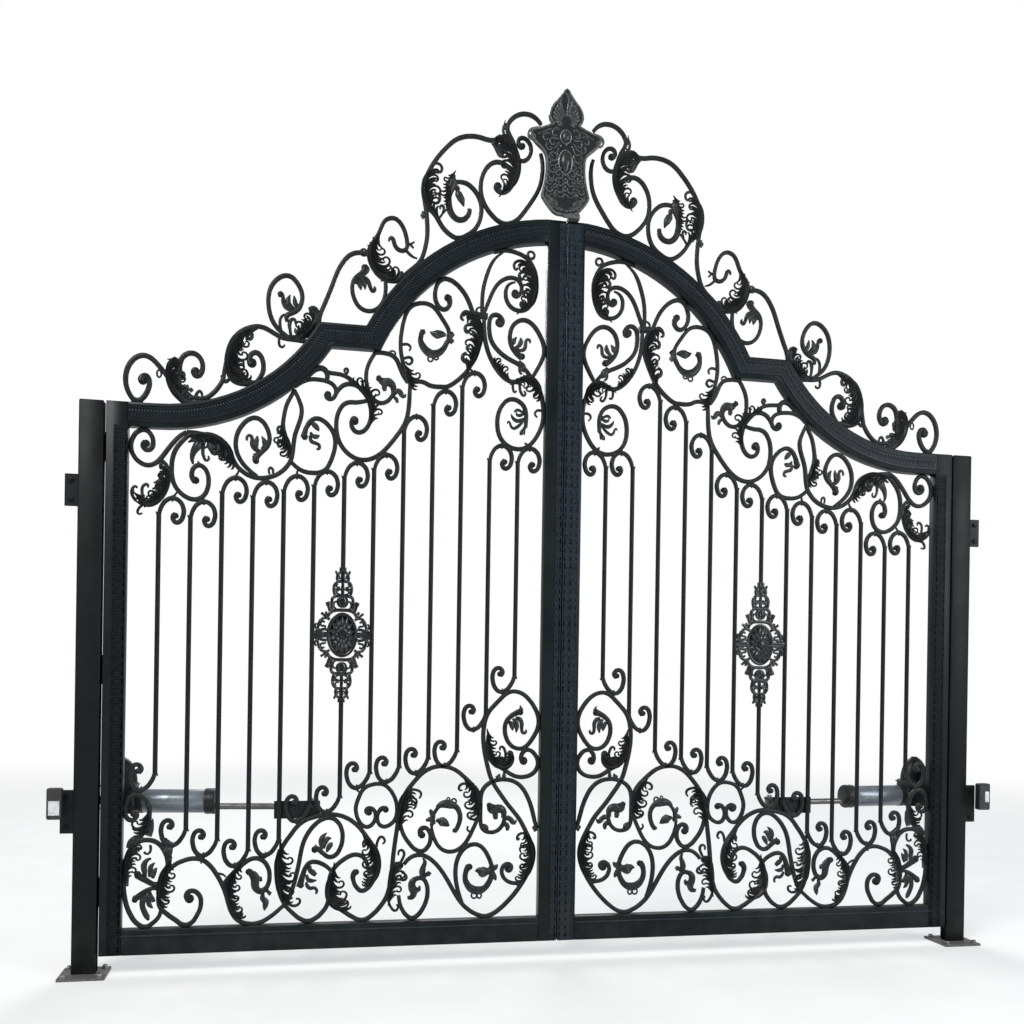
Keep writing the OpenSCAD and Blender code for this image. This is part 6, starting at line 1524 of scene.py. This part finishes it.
# Beads cast where its stems meet, in the same quarter.
ROSETTE_BEADS = [(60, 66), (98, 20), (86, 57), (41, 98), (50, 86), (39, 147), (30, 156), (20, 212),
                 (17, 245), (76, 8), (73, 66), (35, 190)]


def rosette_openwork():
    """The stems round the flower, drawn in one quarter and mirrored to all four, and its rim."""
    wire = bar_section("rosette wire section", [
        (-6, -4), (-6, 1.5), (-3, 4.5), (3, 4.5), (6, 1.5), (6, -4), (3, -6), (-3, -6)])
    runs = [[(x * u, z * w, width) for u, w in points_of(line)]
            for x in (1, -1) for z in (1, -1) for width, *line in ROSETTE]
    pieces = [bend("openwork", runs, wire),
              bend("oval rim", [oval(0, 0, 56, 84, 11.5, 24)], wire, ring=True)]
    discard(wire)
    return pieces


def rosette_dish():
    """The flat oval behind the petals, hollowed in two steps."""
    middle = (0, MIDDLE * MM, 0)
    let_go()
    bpy.ops.mesh.primitive_cylinder_add(vertices=40, radius=0.05, depth=0.008,
                                        rotation=(math.radians(90), 0, 0), location=middle)
    dish = bpy.context.object
    apply_place(dish)
    edit(dish)
    bpy.ops.mesh.select_all(action="SELECT")
    bpy.ops.transform.resize(value=(1.04, 1, 1.58), center_override=middle)
    choose(dish, is_end)
    bpy.ops.mesh.inset(thickness=0.014)
    bpy.ops.mesh.inset(thickness=0.018)
    bpy.ops.transform.resize(value=(1, 1.9, 1), center_override=middle)
    let_go()
    return dish


def rosette_petals():
    """Two rows of petals, the inner one set between those of the outer one."""
    petal = bar_section("petal section", [(-8, 0), (-5.5, 3), (0, 5.5), (5.5, 3), (8, 0)])
    pieces = []
    for count, turn, near, far, broad, height in ((14, 0, 0.36, 0.96, 12, 0),
                                                  (10, 0.5, 0.16, 0.58, 11, 3.5)):
        fan = []
        for i in range(count):
            a = math.tau * (i + turn) / count
            x, z = math.sin(a) * 50, math.cos(a) * 76
            fan.append([(x * near, z * near, broad * 0.5),
                        (x * (near + far) / 2, z * (near + far) / 2, broad * 1.25),
                        (x * far, z * far, broad * 0.35)])
        pieces.append(bend("petals", fan, petal, depth=20.5 - height))
    discard(petal)
    return pieces


def rosette_boss():
    """The round boss in the middle of the flower, dished in its face."""
    boss = rod((0, 8, 0), (0, 22, 0), 17, 24)
    front = facing((0, -1, 0))
    edit(boss)
    choose(boss, front)
    bpy.ops.mesh.bevel(offset=0.005, segments=3, affect="EDGES")
    choose(boss, front)
    for rim, move in ((0.003, 0.003), (0.002, -0.004)):
        bpy.ops.mesh.inset(thickness=rim)
        bpy.ops.transform.translate(value=(0, move, 0))
    let_go()
    return boss


def rosette():
    """Cast openwork round an oval flower, the same on both faces."""
    pieces = rosette_openwork() + [rosette_dish()] + rosette_petals() + [rosette_boss()]
    round_boss = [(u, z) for u, z, width in oval(0, 0, 22, 22, 1, 12)]
    on_stems = [(x * u, w * z) for u, z in ROSETTE_BEADS
                for x, w in ((1, 1), (-1, 1), (1, -1), (-1, -1))]
    for radius, places, depth in ((2.8, round_boss, 15), (6.5, on_stems, 20)):
        pearl = bead(radius)
        pieces += [copy_of(pearl, in_plane(u, z, depth=depth)) for u, z in places]
        discard(pearl)
    front = join("rosette", pieces)
    back = copy_of(front, Matrix.Translation((0, LEAF_DEPTH * MM, 0))
                   @ Matrix.Diagonal((1, -1, 1, 1)))
    turn_out(back, doubles=False)
    whole = join("rosette", [front, back])
    whole.data.transform(Matrix.Translation((BAR_U[ROSE_BAR] * MM, 0, ROSE_Z * MM)))
    both_sides(whole, "cast_rosette", "{side}_leaf", "rosette", rosette_black, 45)


rosette()


# ---------------------------------------------------------------- finial
# The right half of its outline, from the tip down.
FINIAL = (0,3543, 16,3524, 37,3495, 54,3476, 65,3459, 72,3440, 73,3420, 66,3403, 58,3392, 72,3382,
          92,3373, 120,3362, 150,3352, 155,3332, 142,3312, 117,3288, 96,3268, 88,3252, 84,3236,
          83,3214, 83,3191, 85,3168, 88,3145, 94,3118, 101,3091, 103,3077, 96,3063, 87,3050,
          74,3034, 60,3018, 48,3008, 36,3003, 18,3001, 0,3000)
# Carved curls on the right half of its field: width, then the points.
CURLS = [
    (7, 30,3368, 44,3372, 58,3362, 60,3346, 50,3338, 42,3346),
    (6, 66,3366, 82,3362, 98,3352, 112,3346, 124,3338),
    (7, 70,3344, 86,3346, 100,3336, 100,3322, 90,3316, 83,3323),
    (7, 34,3330, 46,3326, 60,3328, 70,3318, 68,3304, 57,3301, 52,3309),
    (6, 32,3312, 42,3300, 50,3288, 62,3284, 72,3290),
    (7, 84,3306, 88,3292, 82,3280, 70,3276, 64,3284),
    (7, 34,3290, 38,3274, 50,3264, 62,3266, 66,3256, 58,3248),
    (6, 70,3262, 74,3246, 66,3236, 56,3238),
    (7, 36,3262, 40,3244, 50,3232, 62,3228, 70,3218, 64,3210, 56,3214),
    (6, 34,3238, 38,3220, 46,3210, 42,3200, 34,3204),
    (7, 70,3206, 72,3190, 62,3180, 50,3184, 50,3194, 58,3196),
    (7, 20,3206, 30,3194, 40,3186, 40,3174, 30,3170, 25,3178),
    (7, 10,3186, 12,3170, 22,3158, 36,3156, 42,3146, 34,3140, 27,3146),
    (6, 74,3176, 74,3160, 64,3152, 54,3158, 56,3168),
    (7, 50,3150, 62,3142, 74,3144, 80,3134, 72,3126, 64,3131),
    (7, 8,3152, 10,3136, 22,3126, 34,3128, 38,3118, 30,3112),
    (6, 44,3134, 54,3124, 50,3114, 42,3118),
    (7, 84,3116, 82,3102, 70,3096, 60,3102, 62,3112, 70,3112),
    (7, 8,3118, 12,3102, 26,3096, 38,3102, 46,3096, 42,3086, 34,3090),
    (6, 90,3090, 82,3080, 70,3078, 64,3086),
    (6, 6,3092, 12,3080, 24,3076, 32,3080),
    (6, 54,3090, 52,3080, 42,3076)]


# One ear's rolled bar: u, z and width of each point.
EAR = (118, 3366, 8, 140, 3362, 9, 160, 3352, 9, 168, 3334, 9, 160, 3317, 8, 145, 3314, 7,
       138, 3325, 6, 145, 3335, 5)
# Egg bosses: (u, z, half width, half height, swell, narrowing of the lower part).
EGGS = ((-2, 3228, 24, 46, 15, 0.78), (-2, 3338, 18, 23, 11, 1))
# The carving lies this far back from the leaf's front, and in_plane() takes the drawn shield to
# its place and size with the last three values.
FIELD_DEPTH = -18.5
FINIAL_PLACE = (-15, 152.5, 0.95)


def mirrored(runs):
    """The same lines on both halves of the finial."""
    return runs + [[(-u, z, width) for u, z, width in run] for run in runs]


def finial_field(outline):
    """The shield's plate, with rims inside its edge that keep the field smooth."""
    let_go()
    bpy.ops.mesh.primitive_circle_add(vertices=len(outline), radius=0.1, fill_type="NGON")
    shield = bpy.context.object
    for corner, p in zip(shield.data.vertices, outline):
        corner.co = (p.x * MM, -0.006, p.y * MM)
    edit(shield)
    bpy.ops.mesh.select_all(action="SELECT")
    bpy.ops.mesh.normals_make_consistent(inside=False)
    bpy.ops.mesh.extrude_region_move(TRANSFORM_OT_translate={"value": (0, -0.013, 0)})
    bpy.ops.mesh.select_all(action="SELECT")
    bpy.ops.mesh.normals_make_consistent(inside=False)
    choose(shield, lambda face: len(face.vertices) > 8)
    for step in (0.004, 0.002, 0.002):
        bpy.ops.mesh.inset(thickness=step)
    let_go()
    return shield


def finial_rim(outline):
    """The raised rim along the outline."""
    section = bar_section("finial rim section", [
        (-4.5, 0), (-4, 4.5), (-1, 7), (2, 6.5), (4.5, 3), (4.5, -14), (-4.5, -14)])
    rim = bend("rim", [[(p.x, p.y, 1) for p in outline]], section, base=1.0, steps=2, depth=-19,
               ring=True)
    discard(section)
    return rim


def palmette():
    """The fan of leaves at the top: angle from upright, and where each begins and ends."""
    crown = []
    for angle, near, far in ((0, 24, 122), (13, 24, 100), (26, 24, 86), (40, 24, 76), (55, 22, 68),
                             (72, 22, 60), (90, 22, 50), (110, 20, 40)):
        a = math.radians(angle)
        way = Vector((math.sin(a), math.cos(a)))
        out = Vector((way.y, -way.x))
        line = []
        for share, bow, thick in ((0, 0, 5), (0.3, 0.05, 10), (0.62, 0.09, 14), (0.88, 0.06, 11),
                                  (1.0, -0.04, 5)):
            q = Vector((0, 3405)) + way * (near + (far - near) * share) + out * bow * far
            line.append((q.x, q.y, thick))
        crown.append(line)
    return mirrored(crown[1:]) + crown[:1]


def carved_curls():
    """The curls of the field, thin at both ends."""
    curls = []
    for width, *line in CURLS:
        points = points_of(line)
        curls.append([(u, z, width * (1.15 if 0 < i < len(points) - 2 else 0.8))
                      for i, (u, z) in enumerate(points)])
    return mirrored(curls)


def foot_leaves():
    """The leaves that fan out over the foot of the shield, kept inside its outline."""
    foot = []
    for i in range(8):
        a = math.radians(6 + i * 12)
        start = Vector((math.sin(a) * 34, 3052 - math.cos(a) * 30))
        end = Vector((math.sin(a) * 92, 3074 - math.cos(a) * 66))
        end = Vector((min(end.x, 90), max(end.y, 3010 + abs(end.x) * 0.35)))
        foot.append([(start.x, start.y, 6), (*((start + end) / 2), 13), (end.x, end.y, 8)])
    return mirrored(foot)


def egg_boss(u, z, wide, tall, swell, droop):
    """An egg-shaped boss on the shield. droop narrows its lower part."""
    let_go()
    bpy.ops.mesh.primitive_uv_sphere_add(segments=24, ring_count=16, radius=0.01)
    egg = bpy.context.object
    edit(egg)
    bpy.ops.mesh.select_all(action="SELECT")
    bpy.ops.transform.resize(value=(wide / 10, swell / 10, tall / 10))
    choose(egg, lambda vertex: vertex.co.z < -0.3 * tall * MM, "VERT")
    bpy.ops.transform.resize(value=(droop, droop, 1), center_override=(0, 0, 0))
    cut_away(egg, lambda vertex: vertex.co.y > 0.004)
    let_go()
    egg.data.transform(in_plane(u, z, depth=-20))
    return egg


def finial():
    """The crest ornament: a rimmed shield with palmette, bosses, ears and carved curls."""
    half = [Vector(p) for p in points_of(FINIAL)]
    outline = half + [Vector((-p.x, p.y)) for p in reversed(half[1:-1])]
    pieces = [finial_field(outline), finial_rim(outline)]
    for name, runs in (("palmette", palmette()), ("carved curls", carved_curls()),
                       ("foot leaves", foot_leaves())):
        pieces.append(bend(name, runs, leaf_rib, depth=FIELD_DEPTH))
    ear = bar_section("ear section", [(-6, -10), (-6, 2), (-3, 6), (3, 6), (6, 2), (6, -10)])
    pieces.append(bend("ears", mirrored([points_of(EAR, 3)]), ear, steps=4, depth=-19))
    collar = bar_section("collar section", [(-5, 0), (-3, 5), (0, 6.5), (3, 5), (5, 0)])
    bosses = []
    for u, z, wide, tall, swell, droop in EGGS:
        bosses.append(egg_boss(u, z, wide, tall, swell, droop))
        pieces.append(bend("collar", [oval(u, z, wide + 6, tall + 6, 0.6, 20)], collar, base=1.0,
                           steps=2, depth=FIELD_DEPTH, ring=True))
    discard(ear, collar)
    pearl = bead(4.5)
    for i in range(6):
        pieces.append(copy_of(pearl, in_plane(-2, 3172 - i * 17, depth=-19)))
    for u, z in ((-26, 3296), (26, 3296), (0, 3303), (-150, 3330), (150, 3330)):
        pieces.append(copy_of(pearl, in_plane(u, z, 1.2, depth=-21)))
    discard(pearl)
    shield = join("finial_shield", pieces)
    boss = join("finial_bosses", bosses)
    for piece in (shield, boss):
        piece.data.transform(in_plane(*FINIAL_PLACE))
    clasp = join("finial_clasp", [block((4.3, -22, 2987.5), (48, 41, 3012), 2.5),
                                  block((-25, -29, 2988), (34, -20, 3003), 3)])
    for piece, material in ((shield, finial_black), (boss, boss_black), (clasp, plate_steel)):
        settle(piece, SIDES["right"])
        smooth(piece, 40)
        tie(piece, material, "right_leaf", "finial")


finial()


# ---------------------------------------------------------------- softened frame pieces
def soften(name, node_name, material, corner, body="{side}_leaf", joint=None):
    """A piece with the CAD solid's own shape, its sharp edges eased as on rolled tube.

    Its last argument is where the piece's side faces the next one across a narrow gap; the side
    faces there are painted near-black as painted shade."""
    for side in SIDES:
        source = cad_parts[side + "_" + node_name]
        piece = source.copy()
        piece.data = source.data.copy()
        for key in list(piece.keys()):
            if key.startswith("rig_"):
                del piece[key]
        piece.parent = None
        bpy.context.scene.collection.objects.link(piece)
        piece.hide_render = piece.hide_viewport = False
        piece.name = side + "_" + name
        piece.data.name = piece.name
        edit(piece)
        bpy.ops.mesh.select_all(action="SELECT")
        bpy.ops.mesh.remove_doubles(threshold=0.00002)
        bpy.ops.mesh.dissolve_limited(angle_limit=math.radians(0.5))
        let_go()
        add_modifier(piece, "BEVEL", width=corner * MM, segments=2, limit_method="ANGLE",
                     angle_limit=math.radians(40), use_clamp_overlap=True)
        smooth(piece)
        tie(piece, material, body.format(side=side), side + "_" + node_name)
        if joint:
            # Side faces that look into the narrow gap get near-black painted shade.
            piece.data.materials.append(gap_shade_black)
            for face in piece.data.polygons:
                across = abs(face.center.x - GATE.x) - joint * MM
                if abs(face.normal.x) > 0.95 and abs(across) < 0.0015:
                    face.material_index = 1


soften("post_tube", "post", post_black, 5, "posts", POST_IN)
soften("hinge_stile_tube", "hinge_stile", frame_slate, 3, joint=LEAF_OUT)
soften("meeting_stile_tube", "meeting_stile", frame_slate, 3, joint=LEAF_IN)
soften("top_rail_tube", "top_rail", frame_slate, 2)
soften("bottom_rail_tube", "bottom_rail", frame_slate, 3)


# ---------------------------------------------------------------- swing operators
# The operator's pivot on the post, and its turn from it while the gate is closed.
PIVOT, RAM_TURN = (1868, 204, 575), -175.37
# Along the operator's own axis: where the barrel and the rod lie below the pivot's middle, and
# the bore for the rod.
BARREL_Z, ROD_Z, ROD_BORE = -3, -24, 13.8
# The barrel's dark collars: (start, end, radius).
COLLARS = ((176, 204, 48.5), (444, 486, 51.5), (452, 458, 52.6), (474, 480, 52.6))


def on_ram(piece):
    """Carries a piece drawn along the operator's own axis to its pivot on the post."""
    piece.data.transform(Matrix.Translation([n * MM for n in PIVOT])
                         @ Matrix.Rotation(math.radians(RAM_TURN), 4, "Z"))
    return piece


def rod_bore(piece, start, end):
    """Drills the rod's hole through a piece of the operator."""
    return bore(piece, (start, 0, ROD_Z), (end, 0, ROD_Z), ROD_BORE)


def gear_case():
    """The operator's case with its dome, seams, neck, ear and lid."""
    let_go()
    bpy.ops.mesh.primitive_uv_sphere_add(segments=32, ring_count=20, radius=0.066)
    dome = bpy.context.object
    edit(dome)
    cut_away(dome, lambda vertex: vertex.co.z < -0.002)
    bpy.ops.mesh.select_all(action="SELECT")
    bpy.ops.transform.resize(value=(1, 0.74, 1.6), center_override=(0, 0, 0))
    let_go()
    dome.location = (0.112, 0, 0.070)
    apply_place(dome)
    case = block((46, -45.5, -51), (176, 45.5, 72), 9, 3)
    recess(case, facing((0, 0, -1)), 0.006, (0, 0, 0.004))
    seam = block((43, -47.8, 58), (179, 47.8, 64), 2)
    foot = block((43, -47.8, -30), (179, 47.8, -25), 2)
    for piece in (case, foot):
        rod_bore(piece, 130, 190)
    neck = block((10, -14, -16), (60, 14, 16), 3)
    ear = rod((0, 0, -16), (0, 0, 16), 20, 32, 1.5)
    lid = rod((112, 0, 172), (112, 0, 176), 15, 24, 1)
    return join("case", [dome, case, seam, foot, neck, ear, lid])


def operators():
    """Each operator: a domed gear case, and a smooth barrel with dark end collars."""
    both_sides(on_ram(gear_case()), "gear_case", "{side}_ram", "operator_housing", case_black,
               40)
    barrel = rod_bore(rod((170, 0, BARREL_Z), (456, 0, BARREL_Z), 47, 48, 1), 165, 460)
    both_sides(on_ram(barrel), "operator_barrel", "{side}_ram", "operator_tube", tube_steel,
               40)
    collars = [rod_bore(rod((start, 0, BARREL_Z), (end, 0, BARREL_Z), radius, 48, 1.5),
                        start - 5, end + 5) for start, end, radius in COLLARS]
    both_sides(on_ram(join("collars", collars)), "barrel_collars", "{side}_ram", None,
               case_black, 40)


def fastenings():
    """Anchor bolts, plate bolts and the heads of the operators' pins."""
    up, down = (0, 0, 1), (0, 0, -1)
    anchors = [((1852 + a, MIDDLE + b, -65), up) for a in (-65, 65) for b in (-65, 65)]
    plates = [((1921, 10, z), (0, -1, 0)) for z in (1812, 1740, 612, 493)]
    rear = [((*PIVOT[:2], z), way) for z, way in ((599.5, up), (550.5, down))]
    front = [((1003, 134, z), way) for z, way in ((574, up), (535.5, down))]
    for name, places, sizes, body, material in (
            ("anchor_bolts", anchors, (10, 9, 15), "posts", bolt_zinc),
            ("plate_bolts", plates, (8, 6, 12), "posts", post_black),
            ("rear_pin_heads", rear, (12, 8, 17), "posts", bolt_zinc),
            ("front_pin_heads", front, (11, 7, 15), "{side}_leaf", bolt_zinc)):
        bolts = [bolt(place, way, *sizes) for place, way in places]
        both_sides(join(name, bolts), name, body, None, material)


# A photocell's case, and its window in shares of the case's face: (left, right, low, high).
SENSOR_LOW, SENSOR_HIGH = (1927, -52, 530), (1982, -14, 648)
WINDOWS = {"right": (0.52, 0.86, 0.30, 0.70), "left": (0.14, 0.86, 0.14, 0.60)}


def sensors():
    """The photocells: a rounded case with a lens window in its face."""
    u, y, z = SENSOR_LOW
    wide, tall = SENSOR_HIGH[0] - u, SENSOR_HIGH[2] - z
    for side, (left, right, low, high) in WINDOWS.items():
        case = block(SENSOR_LOW, SENSOR_HIGH, 7, 4)
        recess(case, facing((0, -1, 0), 0.95), 0.004, (0, 0.0015, 0))
        finish_piece(case, side, "photocell_case", "posts", "photocell", sensor_black)
        lens = block((u + wide * left, y - 0.5, z + tall * low),
                     (u + wide * right, y + 6, z + tall * high), 1.2)
        finish_piece(lens, side, "photocell_lens", "posts", None, sensor_lens)


operators()
fastenings()
sensors()

# CAD pieces that show as they are.
FINISHES = {
    "base_plate": plate_steel, "wall_plates": post_black, "post_hinges": post_black,
    "leaf_hinges": post_black, "operator_bracket": post_black, "leaf_bracket": post_black,
    "operator_rod": rod_steel}
for side in SIDES:
    for name, material in FINISHES.items():
        paint(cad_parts[side + "_" + name], material)

discard(square_bar, leaf_rib, blade)
